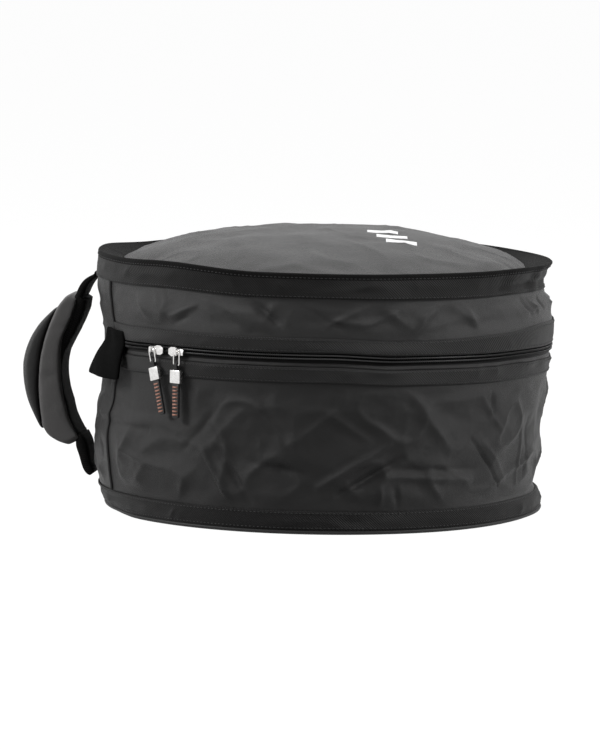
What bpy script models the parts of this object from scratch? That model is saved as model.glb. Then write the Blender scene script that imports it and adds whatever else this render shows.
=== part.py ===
# Round padded bag for a snare drum, with a zipped lid that hinges at the handle.
# Metres, +Z up. The origin is the middle of the round bottom, on the floor.
# The lid hinge and the handle are at -X, and the front of the bag faces -Y.
# An angle round the bag, in degrees, is counted from the handle towards the front.

import math

import bmesh
import bpy
from mathutils import Matrix, Vector

# Driving dimensions of the whole bag
ZIP_RADIUS = 0.2005
WALL_TAPER = 0.0050
ZIP_HEIGHT = 0.1515
RIM_HEIGHT = 0.2275
TOP_PANEL_DEPTH = 0.0080
DOME_RISE = 0.0280
DOME_RINGS = 5
FACETS = 60
HINGE_PANEL_HALF_ANGLE = 30
ZIP_END_ANGLE = 36

# Points closer than this are one point
MERGE_DISTANCE = 0.00005

# Sheet thicknesses, and the gap that neighbouring layers keep
GAP = 0.0003
FABRIC = 0.0012
PADDING = 0.0055
LINING = 0.0008
BOTTOM_PADDING = 0.0080
BAND = 0.0012
WEBBING = 0.0030
WEBBING_WIDTH = 0.0380

# Sewn bands and piping
BOTTOM_BAND_TOP = 0.0200
PIPING_LIFT = 0.0010
PIPING_RADIUS = 0.0012
PIPING_SIDES = 6
TOP_BAND_HEIGHT = 0.0210
BINDING_THICKNESS = 0.0016
BINDING_CHAMFER = 0.0008

# Zip: two rows of coil on their tapes, with a channel between them for the sliders
COIL_GAP = 0.0026
COIL_RADIUS = 0.0011
TAPE = 0.0008
TAPE_WIDTH = 0.0200
TAPE_SHOWING = 0.0095
LOWER_BAND_WIDTH = 0.0130
UPPER_BAND_WIDTH = 0.0132
WING_CHANNEL = 0.0090
ZIP_STOP_ANGLE = 1.2
ZIP_STOP_HEIGHT = 0.0035

# Sliders
SLIDER_LENGTH = 0.0160
SLIDER_HEIGHT = 0.0080
SLIDER_PLATE = 0.0015
SLIDER_CLEARANCE = 0.0008
SLIDER_OUTLINE_SHARES = ((-1.0, 0.66), (-0.30, 0.66), (0.10, 1.0), (0.62, 1.0), (1.0, 0.55))
DIAMOND_HEIGHT = 0.0018
DIAMOND_LENGTH = 0.0050
BRIDGE_DEPTH = 0.0022
BRIDGE_WALL = 0.0011
BRIDGE_OPENING = 0.0030
UNION_SINK = 0.0002
FRONT_SLIDER_ANGLE = 53.0
REAR_SLIDER_ANGLE = 59.4
FRONT_BRIDGE_SHIFT = -0.0050
REAR_BRIDGE_SHIFT = 0.0020
FRONT_PULL_LEAN = 15.0
REAR_PULL_LEAN = 0.0

# Zip pulls: a wire link, a cord loop, a crimped ferrule and a moulded strap
LINK_WIRE_RADIUS = 0.00075
LINK_WIDTH = 0.0062
LINK_LENGTH = 0.0112
LINK_CORNER = 0.0016
CORNER_STEPS = 3
LOOP_THICKNESS = 0.0010
LOOP_WIDTH = 0.0034
LOOP_STEPS = 6
FERRULE_WIDTH = 0.0108
FERRULE_THICKNESS = 0.0050
FERRULE_LENGTH = 0.0115
FERRULE_LOOP_SHARE = 0.60
PULL_STRAP_WIDTH = 0.0067
PULL_STRAP_THICKNESS = 0.0024
PULL_STRAP_LENGTH = 0.0300
PULL_STRAP_ROUND = 0.0020
PULL_NECK_LENGTH = 0.0035
METAL_EDGE_ROUND = 0.0006

# Soft tabs that cover the zip ends, flared away from the wall at their lower edge
TAB_START_ANGLE = 18
TAB_SWEEP = 18
TAB_HEIGHT = 0.0330
TAB_FLARE = 0.0120
TAB_THICKNESS = 0.0030
TAB_SHARES = ((0.0, 0.0), (0.35, 0.20), (0.70, 0.58), (1.0, 1.0))

# Handle: its two straps and the wall make a parallelogram with the grip
STRAP_REACH = 0.0195
STRAP_RISE = 0.0310
LOWER_PIVOT_HEIGHT = 0.0275
STRAP_SEAT = 0.0040
GRIP_SAGITTA = 0.0175
PIVOT_CLEARANCE = 0.0019
ANCHOR_CLEARANCE = 0.0033
GRIP_WIDTH = 0.0420
FLAP_WIDTH = 0.0350
PAD_ROUND = 0.0030
FLAP_ROUND = 0.0012
PAD_END_THICKNESS = 0.0070
PAD_MID_THICKNESS = 0.0185
PAD_TOP_SETBACK = 0.0035
PAD_BOTTOM_SETBACK = -0.0010
FLAP_CLEARANCE = 0.0006
FLAP_END_THICKNESS = 0.0030
FLAP_MID_THICKNESS = 0.0130
FLAP_TOP_SETBACK = 0.0120
FLAP_BOTTOM_SETBACK = 0.0040
SWELL_SKEW = 0.80
GRIP_STATIONS = 11

# Depth of each layer's outer face under the outer face of the wall
TAPE_DEPTH = FABRIC + GAP
PADDING_DEPTH = TAPE_DEPTH + TAPE + GAP
LINING_DEPTH = PADDING_DEPTH + PADDING + GAP
RIM_INNER_DEPTH = LINING_DEPTH + BAND

# The bottom's radius, and heights from the floor up
BOTTOM_RADIUS = ZIP_RADIUS - WALL_TAPER
TOP_PANEL_HEIGHT = RIM_HEIGHT - TOP_PANEL_DEPTH
WALL_LOW = FABRIC + GAP
BOTTOM_PADDING_TOP = WALL_LOW + BOTTOM_PADDING
BASE_LINING_LOW = BOTTOM_PADDING_TOP + GAP
BOTTOM_BAND_LOW = PIPING_LIFT + 2 * PIPING_RADIUS + GAP
BASE_FABRIC_TOP = ZIP_HEIGHT - TAPE_SHOWING
LOWER_BAND_LOW = BASE_FABRIC_TOP - LOWER_BAND_WIDTH
BASE_PADDING_TOP = ZIP_HEIGHT - WING_CHANNEL
LID_FABRIC_LOW = ZIP_HEIGHT + COIL_GAP / 2 + 2 * COIL_RADIUS + GAP
UPPER_BAND_TOP = LID_FABRIC_LOW + UPPER_BAND_WIDTH
LID_PADDING_LOW = ZIP_HEIGHT + WING_CHANNEL
RIM_INNER_LOW = TOP_PANEL_HEIGHT + BAND
RIM_LAYERS_TOP = RIM_HEIGHT - BINDING_THICKNESS - GAP
TOP_BAND_LOW = RIM_LAYERS_TOP - TOP_BAND_HEIGHT
TAB_TOP = ZIP_HEIGHT - COIL_GAP / 2

# Radii at the zip
BAND_OUTER = ZIP_RADIUS + GAP + BAND
TAPE_OUTER = ZIP_RADIUS - TAPE_DEPTH
COIL_CENTRE = TAPE_OUTER + GAP + COIL_RADIUS
SLIDER_FACE = BAND_OUTER + SLIDER_CLEARANCE
SLIDER_FRONT = SLIDER_FACE + SLIDER_PLATE
SLIDER_BACK = TAPE_OUTER - TAPE - SLIDER_CLEARANCE
LINK_PIVOT = SLIDER_FRONT + GAP + LINK_WIRE_RADIUS
SEAM_TRIM = math.degrees(GAP / ZIP_RADIUS)

# Planes to draw an outline in, for a piece at +X: seen from the side, and from outside
SIDE_VIEW = Matrix.Rotation(math.pi / 2, 4, "X")
OUTSIDE_VIEW = Matrix.Rotation(math.pi / 2, 4, "Z") @ SIDE_VIEW

PALETTE = {
    "charcoal_cloth": ((0.040, 0.040, 0.041), 0.80, 0.0),
    "twill_band": ((0.030, 0.030, 0.031), 0.75, 0.0),
    "black_webbing": ((0.006, 0.006, 0.006), 0.70, 0.0),
    "black_plush": ((0.004, 0.004, 0.004), 0.95, 0.0),
    "foam": ((0.090, 0.090, 0.095), 0.90, 0.0),
    "lining_cloth": ((0.015, 0.015, 0.016), 0.70, 0.0),
    "zip_nylon": ((0.008, 0.008, 0.008), 0.45, 0.0),
    "silver_metal": ((0.560, 0.560, 0.580), 0.28, 1.0),
    "moulded_rubber": ((0.020, 0.012, 0.008), 0.50, 0.0),
}

# World matrices by object name, which parenting needs
WORLD = {}


def clear_scene():
    for old in list(bpy.data.objects):
        bpy.data.objects.remove(old, do_unlink=True)


def new_collection(name):
    made = bpy.data.collections.new(name)
    bpy.context.scene.collection.children.link(made)
    return made


def finish_material(name, finish):
    colour, roughness, metallic = PALETTE[finish]
    made = bpy.data.materials.new(name + "_" + finish)
    made.use_nodes = True
    shader = made.node_tree.nodes["Principled BSDF"]
    shader.inputs["Base Color"].default_value = (*colour, 1.0)
    shader.inputs["Roughness"].default_value = roughness
    shader.inputs["Metallic"].default_value = metallic
    return made


def add_object(name, data, finish, carrier, matrix=None):
    """Links an object at its world place, carried by an empty."""
    made = bpy.data.objects.new(name, data)
    BAG.objects.link(made)
    WORLD[name] = matrix or Matrix.Identity(4)
    if carrier:
        made.parent = carrier
        made.matrix_parent_inverse = WORLD[carrier.name].inverted()
    made.matrix_basis = WORLD[name]
    if finish:
        data.materials.append(finish_material(name, finish))
    return made


def add_pivot(name, carrier, matrix):
    """An empty on a joint's axis, which carries the pieces of one body."""
    made = add_object(name, None, None, carrier, matrix)
    made.empty_display_size = STRAP_REACH
    return made


def as_operand(made):
    """Moves an object that only cuts or joins another out of the model."""
    BAG.objects.unlink(made)
    CUTTERS.objects.link(made)
    made.hide_render = True
    made.display_type = "WIRE"
    return made


def apply_boolean(made, operand, operation):
    step = made.modifiers.new(operation.lower() + "_" + operand.name, "BOOLEAN")
    step.operation = operation
    step.solver = "EXACT"
    step.object = as_operand(operand)


def turned_to(round_angle):
    """The turn that takes a piece modelled at +X to its angle round the bag."""
    return Matrix.Rotation(math.radians(180 + round_angle), 4, "Z")


def wall_radius(height):
    """Outer face of the cloth wall: tapered up to the zip, then upright."""
    share = min(height / ZIP_HEIGHT, 1)
    return BOTTOM_RADIUS + WALL_TAPER * share


def wall_line(depth, low, high):
    """A line down the wall, that far under its outer face."""
    return [(wall_radius(z) - depth, z) for z in (high, low)]


def profile_mesh(name, points, closed):
    mesh = bpy.data.meshes.new(name)
    edges = [(i, i + 1) for i in range(len(points) - 1)]
    if closed:
        edges.append((len(points) - 1, 0))
    mesh.from_pydata([(r, 0, z) for r, z in points], edges, [])
    return mesh


def add_screw(made, sweep, steps):
    screw = made.modifiers.new("turn", "SCREW")
    screw.axis = "Z"
    screw.angle = math.radians(sweep)
    screw.steps = steps
    screw.render_steps = steps
    screw.use_merge_vertices = True
    screw.merge_threshold = MERGE_DISTANCE


def add_turned(name, points, finish, carrier, closed=True):
    """A full turn of a profile that runs down its outer side."""
    made = add_object(name, profile_mesh(name, points, closed), finish, carrier)
    add_screw(made, 360, FACETS)
    return made


def add_wall(name, line, thickness, angles, finish, carrier):
    """Part of the round wall: a turned line, thickened inwards."""
    start, end = angles
    mesh = profile_mesh(name, line, False)
    matrix = turned_to(start + SEAM_TRIM / 2)
    made = add_object(name, mesh, finish, carrier, matrix)
    add_screw(made, end - start - SEAM_TRIM, round((end - start) / 360 * FACETS))
    shell = made.modifiers.new("thickness", "SOLIDIFY")
    shell.thickness = thickness
    shell.offset = -1
    shell.use_even_offset = True
    return made


def add_ring(name, depth, thickness, low, high, finish, carrier):
    """A closed ring of the wall, that far under its outer face."""
    outer = wall_line(depth, low, high)
    inner = wall_line(depth + thickness, low, high)
    return add_turned(name, outer + inner[::-1], finish, carrier)


def primitive_mesh(name):
    """Keeps the mesh of the primitive that was just added, and removes its object."""
    primitive = bpy.context.object
    mesh = primitive.data
    mesh.name = name
    bpy.data.objects.remove(primitive, do_unlink=True)
    return mesh


def add_disc(name, radius, low, thickness, finish, carrier):
    bpy.ops.mesh.primitive_cylinder_add(vertices=FACETS, radius=radius, depth=thickness)
    mesh = primitive_mesh(name)
    mesh.shade_smooth()
    mesh.set_sharp_from_angle(angle=math.radians(360 / FACETS * 2))
    return add_object(name, mesh, finish, carrier, Matrix.Translation((0, 0, low + thickness / 2)))


def add_box(name, size, centre, finish, carrier, frame):
    bpy.ops.mesh.primitive_cube_add(size=1)
    mesh = primitive_mesh(name)
    mesh.transform(Matrix.Diagonal((*size, 1)))
    return add_object(name, mesh, finish, carrier, frame @ Matrix.Translation(centre))


def add_tube(name, points, radius, sides, finish, carrier, matrix=None, cyclic=False):
    """A round tube through points, as a curve with filled ends."""
    curve = bpy.data.curves.new(name, "CURVE")
    curve.dimensions = "3D"
    curve.bevel_depth = radius
    curve.bevel_resolution = sides // 2 - 2
    curve.use_fill_caps = not cyclic
    spline = curve.splines.new("POLY")
    spline.points.add(len(points) - 1)
    for control, point in zip(spline.points, points):
        control.co = (*point, 1)
    spline.use_cyclic_u = cyclic
    return add_object(name, curve, finish, carrier, matrix)


def flat_curve(name, points, half_depth, cyclic):
    """A flat line or outline, drawn out to both sides of its plane."""
    curve = bpy.data.curves.new(name, "CURVE")
    curve.dimensions = "2D"
    curve.fill_mode = "BOTH" if cyclic else "NONE"
    curve.extrude = half_depth
    spline = curve.splines.new("POLY")
    spline.points.add(len(points) - 1)
    for control, point in zip(spline.points, points):
        control.co = (*point, 0, 1)
    spline.use_cyclic_u = cyclic
    spline.use_smooth = False
    return curve


def add_plate(name, outline, thickness, finish, carrier, frame):
    """A flat outline with thickness, as a mesh that can be cut and joined."""
    curve = flat_curve(name, outline, thickness / 2, True)
    drawn = bpy.data.objects.new(name, curve)
    bpy.context.scene.collection.objects.link(drawn)
    evaluated = drawn.evaluated_get(bpy.context.evaluated_depsgraph_get())
    mesh = bpy.data.meshes.new_from_object(evaluated)
    bpy.data.objects.remove(drawn, do_unlink=True)
    shape = bmesh.new()
    shape.from_mesh(mesh)
    bmesh.ops.remove_doubles(shape, verts=shape.verts, dist=MERGE_DISTANCE)
    bmesh.ops.recalc_face_normals(shape, faces=shape.faces)
    shape.to_mesh(mesh)
    shape.free()
    return add_object(name, mesh, finish, carrier, frame)


def add_strap(name, side_line, thickness, width, finish, carrier, frame):
    """A flat strap: a line in the side view, drawn out to its width, then thickened."""
    curve = flat_curve(name, side_line, width / 2, False)
    made = add_object(name, curve, finish, carrier, frame @ SIDE_VIEW)
    cloth = made.modifiers.new("thickness", "SOLIDIFY")
    cloth.thickness = thickness
    cloth.offset = 0
    cloth.use_even_offset = True
    return made


def add_cushion(name, side_outline, width, rounding, finish, carrier, frame):
    """A thick outline in the side view, with its two long edges rounded."""
    curve = flat_curve(name, side_outline, width / 2 - rounding, True)
    curve.bevel_depth = rounding
    curve.bevel_resolution = 1
    curve.offset = -rounding
    return add_object(name, curve, finish, carrier, frame @ SIDE_VIEW)


def round_edges(made, width):
    bevel = made.modifiers.new("round_edges", "BEVEL")
    bevel.width = width
    bevel.segments = 2
    bevel.limit_method = "ANGLE"


# Base

def add_base_walls(base):
    panel = HINGE_PANEL_HALF_ANGLE
    front_sweep = (panel, 360 - panel)
    fabric = wall_line(0, WALL_LOW, BASE_FABRIC_TOP)
    add_wall("base_side_panel", fabric, FABRIC, front_sweep, "charcoal_cloth", base)
    fabric = wall_line(0, WALL_LOW, ZIP_HEIGHT - GAP / 2)
    add_wall("hinge_panel_lower", fabric, FABRIC, (-panel, panel), "charcoal_cloth", base)
    add_disc("bottom_panel", BOTTOM_RADIUS, 0, FABRIC, "charcoal_cloth", base)
    inner = wall_radius(WALL_LOW) - TAPE_DEPTH
    add_disc("bottom_padding", inner, WALL_LOW, BOTTOM_PADDING, "foam", base)
    low = BASE_LINING_LOW
    add_ring("base_side_padding", PADDING_DEPTH, PADDING, low, BASE_PADDING_TOP, "foam", base)
    add_base_lining(base)


def add_base_lining(base):
    """A cup: a flat floor and a wall that follows the taper."""
    outer = wall_line(LINING_DEPTH, BASE_LINING_LOW, BASE_PADDING_TOP)
    inner = wall_line(LINING_DEPTH + LINING, BASE_LINING_LOW + LINING, BASE_PADDING_TOP)
    profile = [(0, BASE_LINING_LOW + LINING), *inner[::-1], *outer, (0, BASE_LINING_LOW)]
    add_turned("base_lining", profile, "lining_cloth", base, closed=False)


def add_base_trim(base):
    add_ring("bottom_band", -GAP - BAND, BAND, BOTTOM_BAND_LOW, BOTTOM_BAND_TOP,
             "twill_band", base)
    angles = [math.tau * i / FACETS for i in range(FACETS)]
    radius = BOTTOM_RADIUS + GAP + PIPING_RADIUS
    height = PIPING_LIFT + PIPING_RADIUS
    loop = [(radius * math.cos(a), radius * math.sin(a), height) for a in angles]
    add_tube("bottom_piping", loop, PIPING_RADIUS, PIPING_SIDES, "black_webbing", base,
             cyclic=True)
    panel = HINGE_PANEL_HALF_ANGLE
    for side, angle in (("front", panel), ("rear", -panel)):
        low = BOTTOM_BAND_TOP + GAP + PIPING_RADIUS
        add_seam_piping("seam_piping_lower_" + side, low, LOWER_BAND_LOW - GAP, angle, base)


def add_seam_piping(name, low, high, angle, carrier):
    line = wall_line(-GAP - PIPING_RADIUS, low, high)
    points = [(r, 0, z) for r, z in line]
    add_tube(name, points, PIPING_RADIUS, PIPING_SIDES, "black_webbing", carrier,
             turned_to(angle))


# Zip

def add_zip_row(side, way, carrier):
    """One row of the zip: way is 1 above the channel and -1 below it."""
    near = ZIP_HEIGHT + way * COIL_GAP / 2
    low, high = sorted((near, near + way * TAPE_WIDTH))
    tape = wall_line(TAPE_DEPTH, low, high)
    span = (HINGE_PANEL_HALF_ANGLE, 360 - HINGE_PANEL_HALF_ANGLE)
    add_wall("zip_tape_" + side, tape, TAPE, span, "zip_nylon", carrier)
    steps = round((360 - 2 * ZIP_END_ANGLE) / 360 * FACETS)
    angles = [math.tau * i / FACETS for i in range(steps + 1)]
    height = near + way * COIL_RADIUS
    row = [(COIL_CENTRE * math.cos(a), COIL_CENTRE * math.sin(a), height) for a in angles]
    add_tube("zip_coil_" + side, row, COIL_RADIUS, PIPING_SIDES, "zip_nylon", carrier,
             turned_to(ZIP_END_ANGLE))


def add_zip_bands(base, lid):
    panel = HINGE_PANEL_HALF_ANGLE
    span = (panel, 360 - panel)
    stand = -GAP - BAND
    lower = wall_line(stand, LOWER_BAND_LOW, BASE_FABRIC_TOP)
    add_wall("zip_band_lower", lower, BAND, span, "twill_band", base)
    upper = wall_line(stand, LID_FABRIC_LOW, UPPER_BAND_TOP)
    add_wall("zip_band_upper", upper, BAND, span, "twill_band", lid)


def add_zip_stops(base):
    """Metal stops past the ends of the lower row of coil."""
    width = math.radians(ZIP_STOP_ANGLE) * COIL_CENTRE
    height = ZIP_HEIGHT - (COIL_GAP + ZIP_STOP_HEIGHT) / 2
    middle = ZIP_END_ANGLE - ZIP_STOP_ANGLE / 2 - SEAM_TRIM
    for side, angle in (("front", middle), ("rear", -middle)):
        stop = add_box("zip_stop_" + side, (2 * COIL_RADIUS, width, ZIP_STOP_HEIGHT),
                       (COIL_CENTRE, 0, height), "silver_metal", base, turned_to(angle))
        round_edges(stop, METAL_EDGE_ROUND)


def add_zip_tabs(base):
    """Each tab hangs from the zip's height and flares outwards."""
    start = TAB_START_ANGLE
    face = BAND_OUTER + GAP + TAB_THICKNESS
    line = [(face + TAB_FLARE * out, TAB_TOP - TAB_HEIGHT * down) for down, out in TAB_SHARES]
    for side, angle in (("front", start), ("rear", -start - TAB_SWEEP)):
        add_wall("zip_tab_" + side, line, TAB_THICKNESS, (angle, angle + TAB_SWEEP),
                 "black_plush", base)


# Lid

def dome_height(radius, edge_radius):
    return DOME_RISE * (1 - (radius / edge_radius) ** 2)


def dome_line(edge_radius, drop):
    """From the middle of the top panel out to its edge, that far under its face."""
    radii = [edge_radius * i / DOME_RINGS for i in range(DOME_RINGS + 1)]
    return [(r, TOP_PANEL_HEIGHT - drop + dome_height(r, edge_radius)) for r in radii]


def add_dome(name, drop, thickness, finish, lid):
    edge = ZIP_RADIUS - LINING_DEPTH
    profile = dome_line(edge, drop) + dome_line(edge, drop + thickness)[::-1]
    add_turned(name, profile, finish, lid, closed=False)


def add_lid_walls(lid):
    panel = HINGE_PANEL_HALF_ANGLE
    fabric = wall_line(0, LID_FABRIC_LOW, RIM_LAYERS_TOP)
    add_wall("lid_side_panel", fabric, FABRIC, (panel, 360 - panel), "charcoal_cloth", lid)
    fabric = wall_line(0, ZIP_HEIGHT + GAP / 2, RIM_LAYERS_TOP)
    add_wall("hinge_panel_upper", fabric, FABRIC, (-panel, panel), "charcoal_cloth", lid)
    add_ring("lid_side_padding", PADDING_DEPTH, PADDING, LID_PADDING_LOW, RIM_LAYERS_TOP,
             "foam", lid)
    add_dome("lid_top_panel", 0, FABRIC, "charcoal_cloth", lid)
    add_dome("lid_top_padding", FABRIC + GAP, PADDING, "foam", lid)
    add_lid_lining(lid)


def add_lid_lining(lid):
    """A cup upside down, domed like the padding above it."""
    drop = FABRIC + GAP + PADDING + GAP
    outer = ZIP_RADIUS - LINING_DEPTH
    inner = outer - LINING
    profile = [
        *dome_line(outer, drop),
        (outer, LID_PADDING_LOW),
        (inner, LID_PADDING_LOW),
        *dome_line(inner, drop + LINING)[::-1],
    ]
    add_turned("lid_lining", profile, "lining_cloth", lid, closed=False)


def add_lid_trim(lid):
    add_ring("top_edge_band", -GAP - BAND, BAND, TOP_BAND_LOW, RIM_LAYERS_TOP,
             "charcoal_cloth", lid)
    add_ring("rim_inner_band", LINING_DEPTH, BAND, RIM_INNER_LOW, RIM_LAYERS_TOP,
             "charcoal_cloth", lid)
    add_rim_binding(lid)
    panel = HINGE_PANEL_HALF_ANGLE
    for side, angle in (("front", panel), ("rear", -panel)):
        low = UPPER_BAND_TOP + GAP
        add_seam_piping("seam_piping_upper_" + side, low, TOP_BAND_LOW - GAP, angle, lid)


def add_rim_binding(lid):
    outer = BAND_OUTER
    inner = ZIP_RADIUS - RIM_INNER_DEPTH
    low = RIM_HEIGHT - BINDING_THICKNESS
    shoulder = RIM_HEIGHT - BINDING_CHAMFER
    profile = [
        (outer - BINDING_CHAMFER, RIM_HEIGHT),
        (outer, shoulder),
        (outer, low),
        (inner, low),
        (inner, shoulder),
        (inner + BINDING_CHAMFER, RIM_HEIGHT),
    ]
    add_turned("rim_binding", profile, "charcoal_cloth", lid)


# Sliders and pulls

def slider_outline(nose_way):
    """The wings' outline: a narrow tail, wide shoulders and a blunt nose."""
    half_length = SLIDER_LENGTH / 2
    half_height = SLIDER_HEIGHT / 2
    upper = [(nose_way * half_length * a, half_height * b) for a, b in SLIDER_OUTLINE_SHARES]
    return upper + [(a, -b) for a, b in upper[::-1]]


def bridge_outline():
    """The bridge in section: a square arch on the outer wing."""
    foot = SLIDER_FRONT - UNION_SINK
    inside = LINK_PIVOT + LINK_WIRE_RADIUS + GAP
    top = inside + BRIDGE_WALL
    half_in = BRIDGE_OPENING / 2
    half_out = half_in + BRIDGE_WALL
    corner = BRIDGE_WALL / 2
    upper = [(foot, half_in), (foot, half_out), (top - corner, half_out), (top, half_out - corner)]
    lower = [(out, -up) for out, up in upper[::-1]]
    return upper + lower + [(inside, -half_in), (inside, half_in)]


def add_slider(name, angle, nose_way, bridge_shift, base):
    """Two wings joined by a diamond that runs in the channel between the rows."""
    turn = turned_to(angle)
    pivot = add_pivot(name + "_axis", base, turn)
    outline = slider_outline(nose_way)
    outer_wing = Matrix.Translation((SLIDER_FACE + SLIDER_PLATE / 2, 0, ZIP_HEIGHT))
    slider = add_plate(name, outline, SLIDER_PLATE, "silver_metal", pivot,
                       turn @ outer_wing @ OUTSIDE_VIEW)
    inner_wing = Matrix.Translation((SLIDER_BACK - SLIDER_PLATE / 2, 0, ZIP_HEIGHT))
    wing = add_plate(name + "_inner_wing", outline, SLIDER_PLATE, None, pivot,
                     turn @ inner_wing @ OUTSIDE_VIEW)
    reach = SLIDER_FACE - SLIDER_BACK + 2 * UNION_SINK
    middle = (SLIDER_FACE + SLIDER_BACK) / 2
    diamond = add_box(name + "_diamond", (reach, DIAMOND_LENGTH, DIAMOND_HEIGHT),
                      (middle, 0, ZIP_HEIGHT), None, pivot, turn)
    arch = Matrix.Translation((0, bridge_shift, ZIP_HEIGHT))
    bridge = add_plate(name + "_bridge", bridge_outline(), BRIDGE_DEPTH, None, pivot,
                       turn @ arch @ SIDE_VIEW)
    for operand in (diamond, wing, bridge):
        apply_boolean(slider, operand, "UNION")
    return pivot


def pull_frame(angle, bridge_shift, lean):
    """Place and lean of a pull: its own origin is on the link's bar in the bridge."""
    spot = Matrix.Translation((LINK_PIVOT, bridge_shift, ZIP_HEIGHT))
    return turned_to(angle) @ spot @ Matrix.Rotation(math.radians(lean), 4, "X")


def rounded_loop(width, length, corner):
    """Points of a rounded rectangle that hangs from the middle of its top bar."""
    half = width / 2
    spots = ((half, 0, 0), (half, -length, 270), (-half, -length, 180), (-half, 0, 90))
    points = []
    for along, up, start in spots:
        middle = (along - math.copysign(corner, along), up + (corner if up else -corner))
        for step in range(CORNER_STEPS + 1):
            a = math.radians(start + 90 - 90 * step / CORNER_STEPS)
            points.append((0, middle[0] + corner * math.cos(a), middle[1] + corner * math.sin(a)))
    return points


def add_link(name, pivot, frame):
    points = rounded_loop(LINK_WIDTH, LINK_LENGTH, LINK_CORNER)
    add_tube(name + "_link", points, LINK_WIRE_RADIUS, PIPING_SIDES, "silver_metal", pivot,
             frame, cyclic=True)


def pull_levels():
    """Heights down the pull, from the lower bar of the link."""
    loop_radius = LINK_WIRE_RADIUS + GAP + LOOP_THICKNESS / 2
    ferrule_top = -2 * loop_radius - LOOP_THICKNESS
    ferrule_low = ferrule_top - FERRULE_LENGTH
    loop_end = ferrule_top - FERRULE_LENGTH * FERRULE_LOOP_SHARE
    return loop_radius, ferrule_top, ferrule_low, loop_end


def loop_points():
    """The cord goes up, round the link's bar and down again."""
    radius, ferrule_top, _, loop_end = pull_levels()
    inset = (LOOP_THICKNESS + GAP) / 2
    rise = [math.pi * i / LOOP_STEPS for i in range(LOOP_STEPS + 1)]
    arc = [(-radius * math.cos(a), radius * math.sin(a)) for a in rise]
    leg = [(inset, ferrule_top), (inset, loop_end)]
    return [(-out, up) for out, up in leg[::-1]] + arc + leg


def pull_strap_outline():
    """A neck inside the ferrule and a wider strap with round lower corners."""
    _, _, ferrule_low, _ = pull_levels()
    top = ferrule_low - GAP
    low = top - PULL_STRAP_LENGTH
    neck = LOOP_WIDTH / 2
    half = PULL_STRAP_WIDTH / 2
    right = [(neck, top + PULL_NECK_LENGTH), (neck, top), (half, top)]
    for step in range(CORNER_STEPS + 1):
        a = -math.pi / 2 * step / CORNER_STEPS
        right.append((half - PULL_STRAP_ROUND * (1 - math.cos(a)),
                      low + PULL_STRAP_ROUND * (1 + math.sin(a))))
    return right + [(-along, up) for along, up in right[::-1]]


def add_pull(name, pivot, frame):
    """Cord loop, ferrule and strap, all hung from the link's lower bar."""
    _, ferrule_top, ferrule_low, _ = pull_levels()
    add_strap(name + "_loop", loop_points(), LOOP_THICKNESS, LOOP_WIDTH, "black_webbing",
              pivot, frame)
    centre = (0, 0, (ferrule_top + ferrule_low) / 2)
    size = (FERRULE_THICKNESS, FERRULE_WIDTH, FERRULE_LENGTH)
    ferrule = add_box(name + "_ferrule", size, centre, "silver_metal", pivot, frame)
    round_edges(ferrule, METAL_EDGE_ROUND)
    bore_size = (2 * LOOP_THICKNESS + 3 * GAP, LOOP_WIDTH + 2 * GAP, FERRULE_LENGTH + 2 * GAP)
    bore = add_box(name + "_bore", bore_size, centre, None, pivot, frame)
    apply_boolean(ferrule, bore, "DIFFERENCE")
    add_plate(name + "_strap", pull_strap_outline(), PULL_STRAP_THICKNESS, "moulded_rubber",
              pivot, frame @ OUTSIDE_VIEW)


def add_slider_set(name, angle, nose_way, bridge_shift, lean, base):
    slider = add_slider(name + "_slider", angle, nose_way, bridge_shift, base)
    frame = pull_frame(angle, bridge_shift, lean)
    link = add_pivot(name + "_link_axis", slider, frame)
    add_link(name, link, frame)
    lower_bar = frame @ Matrix.Translation((0, 0, -LINK_LENGTH))
    pull = add_pivot(name + "_pull_axis", link, lower_bar)
    add_pull(name + "_pull", pull, lower_bar)


# Handle

def lower_pivot():
    return Vector((wall_radius(LOWER_PIVOT_HEIGHT) + GAP + WEBBING / 2, LOWER_PIVOT_HEIGHT))


def strap_vector():
    return Vector((STRAP_REACH, STRAP_RISE))


def grip_top():
    return Vector((ZIP_RADIUS, ZIP_HEIGHT)) + strap_vector()


def grip_bottom():
    return lower_pivot() + strap_vector()


def grip_arc():
    """The webbing's arc through the grip's two pivots: centre, radius and directions."""
    chord = grip_top() - grip_bottom()
    half = chord.length / 2
    up = chord.normalized()
    out = Vector((up.y, -up.x))
    radius = (half ** 2 + GRIP_SAGITTA ** 2) / (2 * GRIP_SAGITTA)
    centre = (grip_top() + grip_bottom()) / 2 - out * (radius - GRIP_SAGITTA)
    return centre, radius, out, up, math.asin(half / radius)


def grip_point(share, offset):
    """A point beside the webbing's arc: share runs from its lower to its upper end."""
    centre, radius, out, up, half_angle = grip_arc()
    a = half_angle * (2 * share - 1)
    return centre + (radius + offset) * (math.cos(a) * out + math.sin(a) * up)


def grip_share(bottom_setback, top_setback, step):
    """Turns a piece's own share of length into a share of the webbing's arc."""
    _, radius, _, _, half_angle = grip_arc()
    length = 2 * half_angle * radius
    low = bottom_setback / length
    high = 1 - top_setback / length
    return low + (high - low) * step


def swell(share, setbacks, end_thickness, mid_thickness):
    """Thickness over the webbing's arc: thin at the piece's ends, thickest below its middle."""
    low, high = [grip_share(*setbacks, end) for end in (0, 1)]
    own_share = min(max((share - low) / (high - low), 0), 1)
    fullness = math.sin(math.pi * own_share ** SWELL_SKEW)
    return end_thickness + (mid_thickness - end_thickness) * fullness


def pad_outer(share):
    setbacks = (PAD_BOTTOM_SETBACK, PAD_TOP_SETBACK)
    return WEBBING / 2 + GAP + swell(share, setbacks, PAD_END_THICKNESS, PAD_MID_THICKNESS)


def flap_inner(share):
    return pad_outer(share) + FLAP_CLEARANCE


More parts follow.
